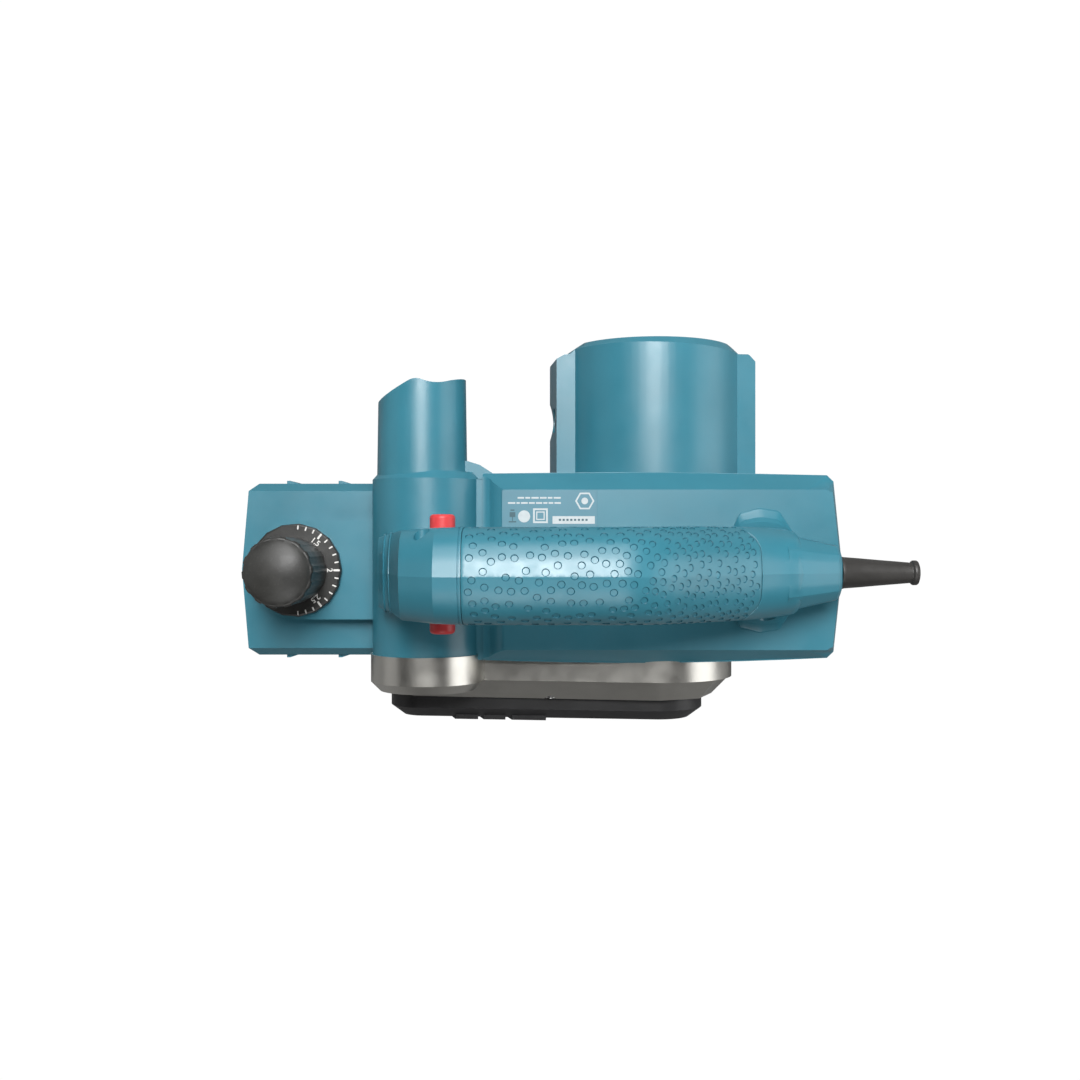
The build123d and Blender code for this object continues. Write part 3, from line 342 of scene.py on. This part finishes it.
# ---------------------------------------------------------------- CAD nodes
for node, piece in nodes.items():
    piece.data.materials.clear()
    piece.data.materials.append(materials[slot_of[node]])

EDGE_WIDTHS = {
    "main_housing": 0.55, "drive_housing": 0.7, "belt_cover": 1.1, "rear_sole": 0.4, "front_shoe": 0.4,
    "motor_end_cap": 0.35, "brush_caps": 0.4, "trigger": 0.9, "belt_cover_screws": 0.35,
    "drive_housing_screws": 0.35, "end_cap_screws": 0.3, "handle_screws": 0.35, "sole_screws": 0.3,
}
for node, width in EDGE_WIDTHS.items():
    refine(node, width, 3 if width > 0.8 else 2)

# Each coil spring is copied into a plain object of its own, which stands in place of its hidden CAD node.
for node, body in (("trigger_spring", "trigger_lever"), ("shoe_spring", "front_sole")):
    low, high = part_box(node)
    spring = bpy.data.objects.new(node + "_coil", nodes[node].data.copy())
    scene.collection.objects.link(spring)
    middle = (low + high) / 2
    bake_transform(spring)
    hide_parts(node)

# ---------------------------------------------------------------- handle surface
SEAM_X, REAR_X, HEAD_UNDER = -84.1, 37.4, 78.0
# Rows of the head: X, ridge height, half width and height of the widest line. Rows of the grip add the underside.
crisp_table = np.array([
    (-124.3, 100.0, 15.4, 94.0), (-121.9, 104.6, 16.2, 96.8), (-121.6, 106.0, 17.0, 97.5), (-120.9, 107.3, 17.1, 98.5),
    (-120.6, 106.9, 16.6, 98.8), (-118.9, 110.3, 16.9, 99.8), (-118.6, 112.0, 17.5, 101.0),
    (-117.6, 116.0, 17.6, 103.5), (-117.3, 116.0, 17.1, 104.5), (-109.4, 149.0, 18.3, 135.0),
    (-95.0, 161.3, 19.1, 144.0), (-84.0, 162.0, 19.4, 145.0)])
run_table = np.array([
    (-140.0, 162.0, 19.4, 145.0, 124.0), (-12.0, 162.0, 19.5, 145.0, 124.0), (10.0, 145.0, 19.9, 128.0, 110.0),
    (41.0, 121.5, 19.9, 104.5, 92.5), (57.5, 116.5, 17.8, 100.0, 91.5), (90.0, 106.6, 13.0, 92.0, 88.0)])
SOFTEN = np.linspace(-11.0, 11.0, 23)      # offsets that the grip's rows are averaged over
SKIN_INSET = 1.9                           # depth of the core below the soft grip


def corner_cut(count, rounds, cut=0.25):
    """Matrix of a corner-cutting subdivision that keeps both end points."""
    weights = np.eye(count)
    for _ in range(rounds):
        rows = [weights[0]]
        for a, b in zip(weights, weights[1:]):
            rows += [(1 - cut) * a + cut * b, cut * a + (1 - cut) * b]
        weights = np.array(rows + [weights[-1]])
    return weights


SMOOTH = corner_cut(8, 3)


def run_sizes(x):
    """Ridge, half width, widest height and underside along the grip, with its bends softened."""
    x = np.asarray(x, float)
    return [np.mean([np.interp(x + d, run_table[:, 0], run_table[:, k]) for d in SOFTEN], axis=0)
            for k in (1, 2, 3, 4)]


def half_section(ridge, width, widest, under, inset=0.0):
    """Smooth half outlines, ridge to underside: arrays of shape (stations, points, 2)."""
    ridge, width, under = ridge - inset, width - inset, under + inset
    shoulder = ridge - widest
    taper = np.where(widest - under < 40, 0.80, 0.93)
    zero = np.zeros_like(ridge)
    sides = [(zero, ridge), (0.42 * width, ridge - 0.10 * shoulder), (0.76 * width, ridge - 0.36 * shoulder),
             (0.95 * width, ridge - 0.72 * shoulder), (width, widest), (0.98 * width, widest - 5),
             (taper * width, under), (zero, under)]
    control = np.stack([np.stack(np.broadcast_arrays(y, z), -1) for y, z in sides], -2)
    return np.einsum("ij,...jk->...ik", SMOOTH, control)


mean_half = half_section(*[np.array([v]) for v in (155.0, 19.6, 138.0, 117.0)])[0]
steps = np.hypot(*np.diff(mean_half, axis=0).T)
along_half = np.concatenate([[0], np.cumsum(steps)])
HALF_LENGTH = along_half[-1]


def front_curl(v):
    """How far the front seam leans back at a distance v round the grip."""
    return 0.9 * np.clip((np.abs(v) - 20) / 8, 0, 1) ** 2


def rear_draw(v):
    """How far the rear seam is drawn forward at a distance v round the grip."""
    v = np.abs(v)
    return 4.5 * np.clip((v - 9) / 11, 0, 1) ** 2 + 0.5 * np.clip(v - 20, 0, 12)


def ring_at(half, xs):
    """Closed ring from one half outline and an X for each of its points."""
    right = [(x, y, z) for x, (y, z) in zip(xs, half)]
    left = [(x, -y, z) for x, y, z in right[1:-1]]
    return right + left[::-1]


rings = []
for row in crisp_table[:-1]:
    half = half_section(*row[1:], np.float64(HEAD_UNDER))
    rings.append(ring_at(half, [row[0]] * len(half)))
for x, inset in ((-85.65, 0.0), (-85.52, 0.4), (-85.30, 0.4), (-85.17, 0.0), (-85.0, 0.0)):
    sizes = [np.interp(x, crisp_table[:, 0], crisp_table[:, k]) for k in (1, 2, 3)]
    half = half_section(*sizes, np.float64(HEAD_UNDER), inset)
    rings.append(ring_at(half, [x] * len(half)))
curl, draw = front_curl(along_half), rear_draw(along_half)
for x, inset, shift in ((-84.9, 0.0, 0), (-84.35, 0.0, 1), (-84.33, SKIN_INSET, 1)):
    half = half_section(*run_sizes(x), inset)
    rings.append(ring_at(half, x + shift * curl))
for x in np.arange(-80, 28, 6.0):
    half = half_section(*run_sizes(x), SKIN_INSET)
    rings.append(ring_at(half, [x] * len(half)))
for offset, inset, share in ((-0.02, SKIN_INSET, 1.0), (0.0, 0.2, 1.0), (0.2, 0.0, 1.0), (3.0, 0.0, 0.85),
                             (6.5, 0.0, 0.6), (10.0, 0.0, 0.35), (13.5, 0.0, 0.12), (16.0, 0.0, 0.0),
                             (17.6, 0.25, 0.0), (18.8, 0.9, 0.0), (19.4, SKIN_INSET, 0.0)):
    xs = REAR_X + offset - share * draw
    sizes = run_sizes(xs)
    half = np.array([half_section(*[s[k:k + 1] for s in sizes], inset)[0][k] for k in range(len(xs))])
    rings.append(ring_at(half, xs))
handle_body = loft("handle_body", rings)

flare_low = [(29, 0), (29, 12), (35, 26), (44, 28.5), (53, 27), (59.5, 17), (59.5, 0)]
flare_high = [(31, 0), (31, 12), (35, 18.5), (44, 19.5), (53, 18.5), (58, 15.6), (58, 0)]
flare_rings = []
for z, share in ((78, 0.0), (82.5, 0.0), (82.9, 0.05), (83.5, 0.22), (84.7, 0.45), (87, 0.68), (91, 0.86),
                 (97, 1.0), (102, 1.0)):
    outline = [((1 - share) * a[0] + share * b[0], (1 - share) * a[1] + share * b[1])
               for a, b in zip(flare_low, flare_high)]
    outline = corner_cut(len(outline), 2, 0.08 + 0.17 * share) @ np.array(outline)
    right = [(x, y, z) for x, y in outline]
    flare_rings.append(right + [(x, -y + 1.2 * (1 - share) * (y > 1), z) for x, y, z in right[1:-1]][::-1])
flare = loft("flare", flare_rings)

boss_front = [(0, 115.6), (5.5, 114.9), (10, 113.2), (15.3, 106), (15.4, 93), (8, 89), (0, 89)]
boss_back = [(0, 107.9), (4.5, 107.5), (8, 106.2), (11.5, 102.5), (11.6, 94.5), (7, 92), (0, 92)]
boss_rings = []
boss_centre = np.array((0, 99.5))
for x, share, inset in ((50, -0.38, 0.0), (57, 0.0, 0.0), (73.2, 0.92, 0.0), (74.6, 0.99, 0.9), (75.2, 1.0, 2.2)):
    outline = np.array([((1 - share) * a[0] + share * b[0], (1 - share) * a[1] + share * b[1])
                        for a, b in zip(boss_front, boss_back)])
    outline = corner_cut(len(outline), 1, 0.14) @ outline
    outline = boss_centre + (outline - boss_centre) * (1 - inset / 11.3)
    right = [(x, y, z) for y, z in outline]
    boss_rings.append(right + [(x, -y, z) for x, y, z in right[1:-1]][::-1])
boss = loft("boss", boss_rings)

cavity = prism([(-83.5, 129.9), (-83.5, 152.5), (-14, 152.5), (37, 112), (37, 99), (-14, 129.9)], 1, -9.6, 9.6)
window = prism([(-80.4, 117), (-44.6, 117), (-44.6, 131), (-80.4, 131)], 1, -8.6, 8.6)
LOCK_AXIS = (-94.5, 119)
lock_bore = prism(disc_outline(*LOCK_AXIS, 5.45), 1, -30, 30)
lock_room = prism(disc_outline(*LOCK_AXIS, 6.6), 1, -12, 12)
scoop = prism(disc_outline(-100.4, 146.5, 3.2), 1, 14.0, 26)
screw_wells = [prism(disc_outline(x, z, 3.75), 1, -30, -11) for x, z in ((-113.0, 95.0), (46.0, 91.0))]
gland_seat = prism(disc_outline(0, 100.4, 6.1), 0, 63, 80)

handle_whole = boolean(boolean(handle_body, flare, "UNION"), boss, "UNION")
for tool in (cavity, window, lock_room, lock_bore, scoop, gland_seat, *screw_wells):
    handle_whole = boolean(handle_whole, tool, "DIFFERENCE")
for side, node in ((1, "handle_shell_left"), (-1, "handle_shell_right")):
    half_space = prism([(-140, 60), (90, 60), (90, 180), (-140, 180)], 1, 0.0, side * 40.0)
    shell = boolean(handle_whole.copy(), half_space, "INTERSECT")
    bm = bmesh.new()
    bm.from_mesh(shell)
    bmesh.ops.remove_doubles(bm, verts=bm.verts, dist=2e-6)
    bmesh.ops.dissolve_degenerate(bm, dist=2e-6, edges=bm.edges)
    bm.to_mesh(shell)
    bm.free()
    new_object(node + "_finished", smoothed(shell, 17), "body_plastic", "housing", (node,))

# ---------------------------------------------------------------- dimpled grip
grid_x = np.linspace(SEAM_X, REAR_X, 400)
ridge_line = run_sizes(grid_x)[0]
along_run = np.concatenate([[0], np.cumsum(np.hypot(np.diff(grid_x), np.diff(ridge_line)))])
RUN_LENGTH = along_run[-1]
DIMPLE_R, FLOOR_R, DIMPLE_DEPTH, LIP = 1.57, 1.25, 0.40, 0.18


def grip_point(u, v, depth):
    """Points on the grip: u along it and v round it, in millimetres, sunk by depth."""
    def surface(u, v):
        x = np.interp(u, along_run, grid_x)
        at = np.interp(np.abs(v), along_half, np.arange(len(along_half)))
        low = np.clip(at.astype(int), 0, len(along_half) - 2)
        share = (at - low)[:, None]
        rows = np.arange(len(x))
        half = half_section(*run_sizes(x))
        yz = half[rows, low] * (1 - share) + half[rows, low + 1] * share
        return np.column_stack([x, np.sign(v) * yz[:, 0], yz[:, 1]])
    base = surface(u, v)
    eps = 0.05
    du = surface(u + eps, v) - surface(u - eps, v)
    dv = surface(u, v + eps) - surface(u, v - eps)
    dv[np.abs(v) < 2 * eps] = (0, 1, 0)
    normal = np.cross(du, dv)
    normal /= np.linalg.norm(normal, axis=1)[:, None]
    return base - normal * depth[:, None]


def run_at(x):
    """Distance along the grip's ridge at an X."""
    return np.interp(x, grid_x, along_run)


def front_edge(v):
    return run_at(SEAM_X + front_curl(v))


def rear_edge(v):
    return run_at(REAR_X - rear_draw(v) - 0.1)


rng = np.random.default_rng(11)
centres = []
for _ in range(40000):
    u, v = rng.uniform(0, RUN_LENGTH), rng.uniform(-50, 50)
    gap = np.interp(u, (40, 75, RUN_LENGTH), (4.5, 3.9, 3.6))
    if u < front_edge(v) + 2.6 or u > rear_edge(v) - 2.3:
        continue
    if centres and np.min(np.hypot(*(np.array(centres) - (u, v)).T)) < gap:
        continue
    centres.append((u, v))
centres = np.array(centres)
EDGE_GAP = 0.9                             # least distance of a fill point from the grip's ends

coords, depths, edges = [], [], []


def add_loop(points, depth, closed=True):
    """Points of an outline that the mesh keeps, all sunk by one depth."""
    start = len(coords)
    coords.extend(points)
    depths.extend([depth] * len(points))
    count = len(points)
    edges.extend((start + k, start + (k + 1) % count) for k in range(count if closed else count - 1))


def add_fill(u, v, margin):
    """Plain surface point, kept clear of the dimples by a margin."""
    if np.min(np.hypot(*(centres - (u, v)).T)) > DIMPLE_R + margin:
        coords.append((u, v))
        depths.append(0.0)


RIDGE_BAND = 0.22                          # half width of the narrow strip that keeps the ridge crisp
v_steps = np.linspace(-HALF_LENGTH, HALF_LENGTH, 97)
WINDOW_U = (run_at(-80.6), run_at(-44.4))
WINDOW_V = HALF_LENGTH - 8.8
for inset, depth in ((0.0, LIP), (0.5, 0.0)):
    low = [(front_edge(v) + inset, v) for v in v_steps]
    high = [(rear_edge(v) - inset, v) for v in v_steps[::-1]]
    add_loop(low, depth, False)
    add_loop(high, depth, False)
u_low, u_high = front_edge(HALF_LENGTH), rear_edge(HALF_LENGTH)
for side in (-1, 1):
    us = np.arange(u_low + 1.5, u_high - 1.0, 1.6)
    add_loop([(u, side * HALF_LENGTH) for u in us], 0.0, False)
    add_loop([(WINDOW_U[0], side * HALF_LENGTH), (WINDOW_U[0], side * WINDOW_V), (WINDOW_U[1], side * WINDOW_V),
              (WINDOW_U[1], side * HALF_LENGTH)], 0.0, False)
for cu, cv in centres:
    turn = rng.uniform(0, 0.3)
    for radius, depth, count in ((DIMPLE_R, 0.0, 20), (FLOOR_R, DIMPLE_DEPTH, 16)):
        add_loop([(cu + radius * cos(turn + 2 * pi * k / count), cv + radius * sin(turn + 2 * pi * k / count))
                  for k in range(count)], depth)
for row, v in enumerate(np.arange(-HALF_LENGTH + 1.2, HALF_LENGTH - 0.6, 1.35)):
    for u in np.arange(1.2 + (row % 2) * 0.7, RUN_LENGTH - 0.8, 1.5):
        if not front_edge(v) + EDGE_GAP < u < rear_edge(v) - EDGE_GAP:
            continue
        add_fill(u, v, 0.4)
for u in np.arange(1.4, RUN_LENGTH - 0.8, 0.9):
    for v in (-RIDGE_BAND, RIDGE_BAND):
        if front_edge(v) + EDGE_GAP < u < rear_edge(v) - EDGE_GAP:
            add_fill(u, v, 0.12)
flat_verts, _, flat_faces, origin, _, _ = delaunay_2d_cdt([Vector(c) for c in coords], edges, [], 0, 1e-4)
uv = np.array([tuple(p) for p in flat_verts])
depth = np.array([depths[o[0]] if o else 0.0 for o in origin])
keep = []
for face in flat_faces:
    u, v = uv[list(face)].mean(0)
    in_window = WINDOW_U[0] < u < WINDOW_U[1] and abs(v) > WINDOW_V
    if front_edge(v) < u < rear_edge(v) and not in_window:
        keep.append(tuple(face))
grip_mesh = bpy.data.meshes.new("grip")
outer = grip_point(uv[:, 0], uv[:, 1], depth)
grip_mesh.from_pydata([tuple(p * MM) for p in outer], [], keep)
# Wall faces of the dimples, which take the darker material of painted shade.
painted_shade_walls = [max(depth[list(face)]) == DIMPLE_DEPTH and min(depth[list(face)]) < DIMPLE_DEPTH for face in keep]
grip_mesh.polygons.foreach_set("material_index", [int(wall) for wall in painted_shade_walls])
bm = bmesh.new()
bm.from_mesh(grip_mesh)
bmesh.ops.delete(bm, geom=[v for v in bm.verts if not v.link_faces], context="VERTS")
bmesh.ops.remove_doubles(bm, verts=[v for v in bm.verts if abs(v.co.y) < 3e-5 and v.co.z < 0.13], dist=4e-5)
bmesh.ops.recalc_face_normals(bm, faces=bm.faces)
bm.to_mesh(grip_mesh)
bm.free()
grip_piece = loose(grip_mesh)
thick = grip_piece.modifiers.new("thick", "SOLIDIFY")
thick.thickness, thick.offset = 1.7 * MM, -1.0
grip_mesh = smoothed(baked(grip_piece), 24)
# The dimples' walls carry the darker painted-shade material as the second material.
new_object("soft_grip_finished", grip_mesh, "grip_rubber", "housing", ("soft_grip",), second="dimple_wall_painted_shade")

# ---------------------------------------------------------------- depth dial
DIAL_X, KNOB_BASE, KNOB_R = -169.0, 58.0, 15.0


def dial_ring(radii, z):
    """Ring of points about the dial's axis from a radius for each of its points."""
    count = len(radii)
    return [(DIAL_X + r * cos(2 * pi * k / count), r * sin(2 * pi * k / count), z) for k, r in enumerate(radii)]


LUGS, PER_LUG = 14, 8


def knob_radii(scale, relief):
    """Outline of the knob: flat lugs that stand out by relief, with straight flanks."""
    shape = []
    for k in range(LUGS * PER_LUG):
        place = k % PER_LUG
        if place < PER_LUG / 2:
            flat = cos(pi / LUGS) / cos((place - 1.5) * 2 * pi / (LUGS * PER_LUG))
            shape.append(scale * (KNOB_R * flat + relief))
        else:
            shape.append(scale * KNOB_R * 0.985)
    return shape


knob_rings = [dial_ring(knob_radii(scale, relief), z) for scale, relief, z in (
    (1.005, 0.4, KNOB_BASE + 0.3), (1.015, 0.45, KNOB_BASE + 1.2), (1.02, 0.45, 80.0), (1.025, 0.5, 90.6),
    (1.03, 0.62, 91.2), (1.03, 0.62, 92.9), (1.025, 0.52, 93.4), (1.01, 0.4, 93.8), (1.0, 0.3, 94.0),
    (0.985, 0.0, 94.1))]
for radius, z in ((13.7, 94.8), (12.4, 95.5), (10.6, 96.2), (8.6, 96.85), (6.2, 97.4), (3.4, 97.85), (1.2, 97.97)):
    knob_rings.append(dial_ring([radius] * LUGS * PER_LUG, z))
knob_mesh = loft("knob", knob_rings, 24)
new_object("depth_knob_finished", knob_mesh, "knob_plastic", "depth_dial", ("depth_knob",))

RING_SIDES, RING_R = 17, 21.9
ring_low, ring_top = 54.35, 58.0


def ring_points(radius, z):
    """Many-sided ring about the dial's axis, with three points along each side."""
    points = []
    for k in range(RING_SIDES * 3):
        side, t = divmod(k, 3)
        a, b = (2 * pi * (side + d) / RING_SIDES for d in (0, 1))
        x, y = ((1 - t / 3) * radius * f(a) + t / 3 * radius * f(b) for f in (cos, sin))
        points.append((DIAL_X + x, y, z))
    return points


profile = [(4.2, ring_low), (RING_R - 0.3, ring_low), (RING_R, ring_low + 0.4), (RING_R, ring_top - 1.0),
           (RING_R - 0.35, ring_top - 0.35), (RING_R - 0.9, ring_top - 0.1), (14.0, ring_top - 0.05),
           (4.2, ring_top - 0.05)]
ring_mesh = loop_loft("ring", [ring_points(r, z) for r, z in profile], 24)
new_object("scale_ring_finished", ring_mesh, "knob_plastic", "depth_dial", ("scale_ring",))


def tile(points, z_low, z_high):
    """Thin raised tile from a plan outline."""
    return loft("tile", [[(x, y, z_low) for x, y in points], [(x, y, z_high) for x, y in points]], 20)


def turned_plan(points, angle, radius):
    """Outline drawn upright at the origin, moved out to a radius on the dial at an angle, top outwards."""
    c, s = cos(angle), sin(angle)
    out = []
    for x, y in points:
        px, py = radius + y, -x
        out.append((DIAL_X + px * c - py * s, px * s + py * c))
    return out


def rounded_bar(length, width, radius=0.3):
    """Small upright bar with rounded corners, centred on the origin."""
    points = []
    for cx, cy, start in ((1, 1, 0), (-1, 1, 90), (-1, -1, 180), (1, -1, 270)):
        for step in range(4):
            a = radians(start + 30 * step)
            points.append((cx * (width / 2 - radius) + radius * cos(a), cy * (length / 2 - radius) + radius * sin(a)))
    return points


MARK_LOW, MARK_HIGH, MARK_STEP = ring_top - 0.15, ring_top + 0.04, 10.65
marks = []
for index in range(-8, 9):
    long_mark = index % 5 == 0
    bar = rounded_bar(3.0 if long_mark else 2.0, 0.95 if long_mark else 0.66)
    radius = 19.75 if long_mark else 20.1
    marks.append(tile(turned_plan(bar, radians(MARK_STEP * index), radius), MARK_LOW, MARK_HIGH))


def number_mesh(text, size):
    """Numeral as a thin raised mesh, centred on the origin."""
    curve = bpy.data.curves.new("numeral", "FONT")
    curve.body, curve.size, curve.align_x, curve.align_y = text, size * MM, "CENTER", "CENTER"
    curve.extrude, curve.offset = 0.09 * MM, 0.00006
    curve.resolution_u = 4
    piece = bpy.data.objects.new("numeral", curve)
    scene.collection.objects.link(piece)
    return baked(piece)


NUMERAL_R = 16.5
for text, index in (("2", 0), ("1.5", 5), ("2.5", -5)):
    numeral = number_mesh(text, 3.7)
    middle = Matrix.Translation((DIAL_X * MM, 0, (ring_top - 0.05) * MM))
    turn = Matrix.Rotation(radians(MARK_STEP * index), 4, "Z")
    upright = Matrix.Translation((NUMERAL_R * MM, 0, 0)) @ Matrix.Rotation(radians(-90), 4, "Z")
    numeral.transform(middle @ turn @ upright)
    marks.append(numeral)
new_object("dial_marks", joined("dial_marks", marks), "white_paint", "depth_dial", ())

# ---------------------------------------------------------------- name plate
refine("name_plate", 0.12)
PLATE_Z = 82.35
PRINT_LOW, PRINT_HIGH = PLATE_Z - 0.02, PLATE_Z + 0.05


def ring_tile(outer, inner):
    """Tile with a hole: two outlines of the same length."""
    count = len(outer)
    points = [(x, y, z) for z in (PRINT_LOW, PRINT_HIGH) for x, y in (*outer, *inner)]
    faces = []
    for k in range(count):
        n = (k + 1) % count
        faces += [(k, n, count + n, count + k), (2 * count + k, 3 * count + k, 3 * count + n, 2 * count + n),
                  (k, 2 * count + k, 2 * count + n, n), (count + k, count + n, 3 * count + n, 3 * count + k)]
    return make_mesh("ring_tile", points, faces, 20)


def plate_rect(x0, x1, y0, y1):
    """Rectangle in plan."""
    return [(x0, y0), (x1, y0), (x1, y1), (x0, y1)]


def plate_tile(points):
    return tile(points, PRINT_LOW, PRINT_HIGH)


print_marks = [plate_tile(plate_rect(-48.4, -29.5, 21.4, 24.8)),
               ring_tile(plate_rect(-57.1, -50.5, 21.7, 28.3), plate_rect(-56.3, -51.3, 22.5, 27.5)),
               ring_tile(plate_rect(-55.7, -51.9, 23.1, 26.9), plate_rect(-55.2, -52.4, 23.6, 26.4)),
               plate_tile(disc_outline(-61.1, 24.7, 2.7, 28)),
               ring_tile(disc_outline(-34.0, 31.6, 4.3, 6), disc_outline(-34.0, 31.6, 3.5, 6)),
               plate_tile(disc_outline(-34.0, 31.6, 1.5, 24))]
for y, x0, x1 in ((30.7, -68.3, -43.9), (33.0, -64.0, -43.9), (19.4, -56.0, -30.0)):
    x = x0
    while x < x1 - 0.5:
        length = float(rng.uniform(1.4, 3.6))
        print_marks.append(plate_tile(plate_rect(x, min(x + length, x1), y - 0.38, y + 0.38)))
        x += length + 0.55
new_object("plate_print", joined("plate_print", print_marks), "pale_print", "housing", ())
dark_marks = [plate_tile(plate_rect(-67.6, -65.0, 24.4, 26.6)), plate_tile(plate_rect(-67.2, -65.4, 27.2, 27.8)),
              plate_tile(plate_rect(-68.0, -64.6, 22.0, 22.6)), plate_tile(plate_rect(-66.5, -66.1, 22.6, 24.4))]
for k in range(8):
    dark_marks.append(tile(plate_rect(-45.6 + k * 1.7, -44.6 + k * 1.7, 22.7, 23.6), PLATE_Z, PLATE_Z + 0.08))
new_object("plate_dark_print", joined("plate_dark_print", dark_marks), "dark_print", "housing", ())

# ---------------------------------------------------------------- cord gland
GLAND_Z = 100.4
gland_profile = [(64, 3.6), (64, 5.9), (75.0, 5.9), (75.3, 6.9), (76.2, 7.0), (76.8, 6.8), (84, 6.25), (92, 5.55),
                 (100, 4.9), (105.3, 4.45), (105.9, 4.5), (106.3, 5.1), (106.7, 5.35), (108.1, 5.35), (108.5, 5.15),
                 (108.7, 4.7), (108.7, 3.95), (108.3, 3.6), (95, 3.6)]
gland_rings = [[(x, y, z) for y, z in disc_outline(0, GLAND_Z, r, 40)] for x, r in gland_profile]
new_object("cord_gland_finished", loop_loft("gland", gland_rings, 40), "black_rubber", "housing", ("cord_gland",))

# ---------------------------------------------------------------- floor, light and camera
floor_mesh = bpy.data.meshes.new("floor")
floor_mesh.from_pydata([(-4, -4, 0), (4, -4, 0), (4, 4, 0), (-4, 4, 0)], [], [(0, 1, 2, 3)])
floor = bpy.data.objects.new("floor", floor_mesh)
scene.collection.objects.link(floor)
floor.location.z = min(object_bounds()[0].z, cad_box[0].z) - 0.0002
SEEN_WHITE = 1.02


def white_to_camera(tree, lighting, kind, output):
    """The camera sees plain white, and everything else sees the lighting shader."""
    glow = tree.nodes.new(kind)
    glow.inputs["Color"].default_value = (1, 1, 1, 1)
    glow.inputs["Strength"].default_value = SEEN_WHITE
    switch = tree.nodes.new("ShaderNodeMixShader")
    tree.links.new(tree.nodes.new("ShaderNodeLightPath").outputs["Is Camera Ray"], switch.inputs["Fac"])
    tree.links.new(lighting, switch.inputs[1])
    tree.links.new(glow.outputs[0], switch.inputs[2])
    tree.links.new(switch.outputs["Shader"], tree.nodes[output].inputs["Surface"])


paper, tree, bsdf = shader("paper", (0.20, 0.20, 0.20), 0.9)
white_to_camera(tree, bsdf.outputs["BSDF"], "ShaderNodeEmission", "Material Output")
floor_mesh.materials.append(paper)

world = bpy.data.worlds.new("room")
world.use_nodes = True
ambient = world.node_tree.nodes["Background"]
ambient.inputs["Color"].default_value = (1, 1, 1, 1)
ambient.inputs["Strength"].default_value = 0.02
white_to_camera(world.node_tree, ambient.outputs[0], "ShaderNodeBackground", "World Output")
scene.world = world

TARGET = Vector((-0.03, 0.01, 0.08))
LIGHT_DISTANCE = 1.3


def softbox(name, heading, tilt, size, power):
    """Square light at a heading (0 is +Y, 90 is +X) and a tilt from overhead, in degrees, aimed at the tool."""
    data = bpy.data.lights.new(name, "AREA")
    data.size, data.energy = size, power
    lamp = bpy.data.objects.new(name, data)
    scene.collection.objects.link(lamp)
    ahead, up = LIGHT_DISTANCE * sin(radians(tilt)), LIGHT_DISTANCE * cos(radians(tilt))
    lamp.location = TARGET + Vector((ahead * sin(radians(heading)), ahead * cos(radians(heading)), up))
    lamp.rotation_euler = (TARGET - lamp.location).to_track_quat("-Z", "Y").to_euler()


softbox("key", 0, 22, 0.50, 14.5)
softbox("front_top", -30, 28, 0.6, 2.5)
softbox("motor_side", 0, 52, 0.8, 7.0)
softbox("cord_side", 90, 72, 1.0, 6.0)
softbox("nose_side", -90, 75, 0.8, 0.8)
softbox("belt_side", 180, 42, 0.7, 4.0)

FIELD_OF_VIEW = 50.0
camera_data = bpy.data.cameras.new("camera")
camera_data.sensor_width = 36.0
camera_data.lens = 18.0 / tan(radians(FIELD_OF_VIEW / 2))
camera_data.clip_start, camera_data.clip_end = 0.01, 20
camera = bpy.data.objects.new("camera", camera_data)
camera.location = (-0.054, 0.01415, 0.600)
scene.collection.objects.link(camera)
scene.camera = camera
scene.view_settings.view_transform = "Standard"
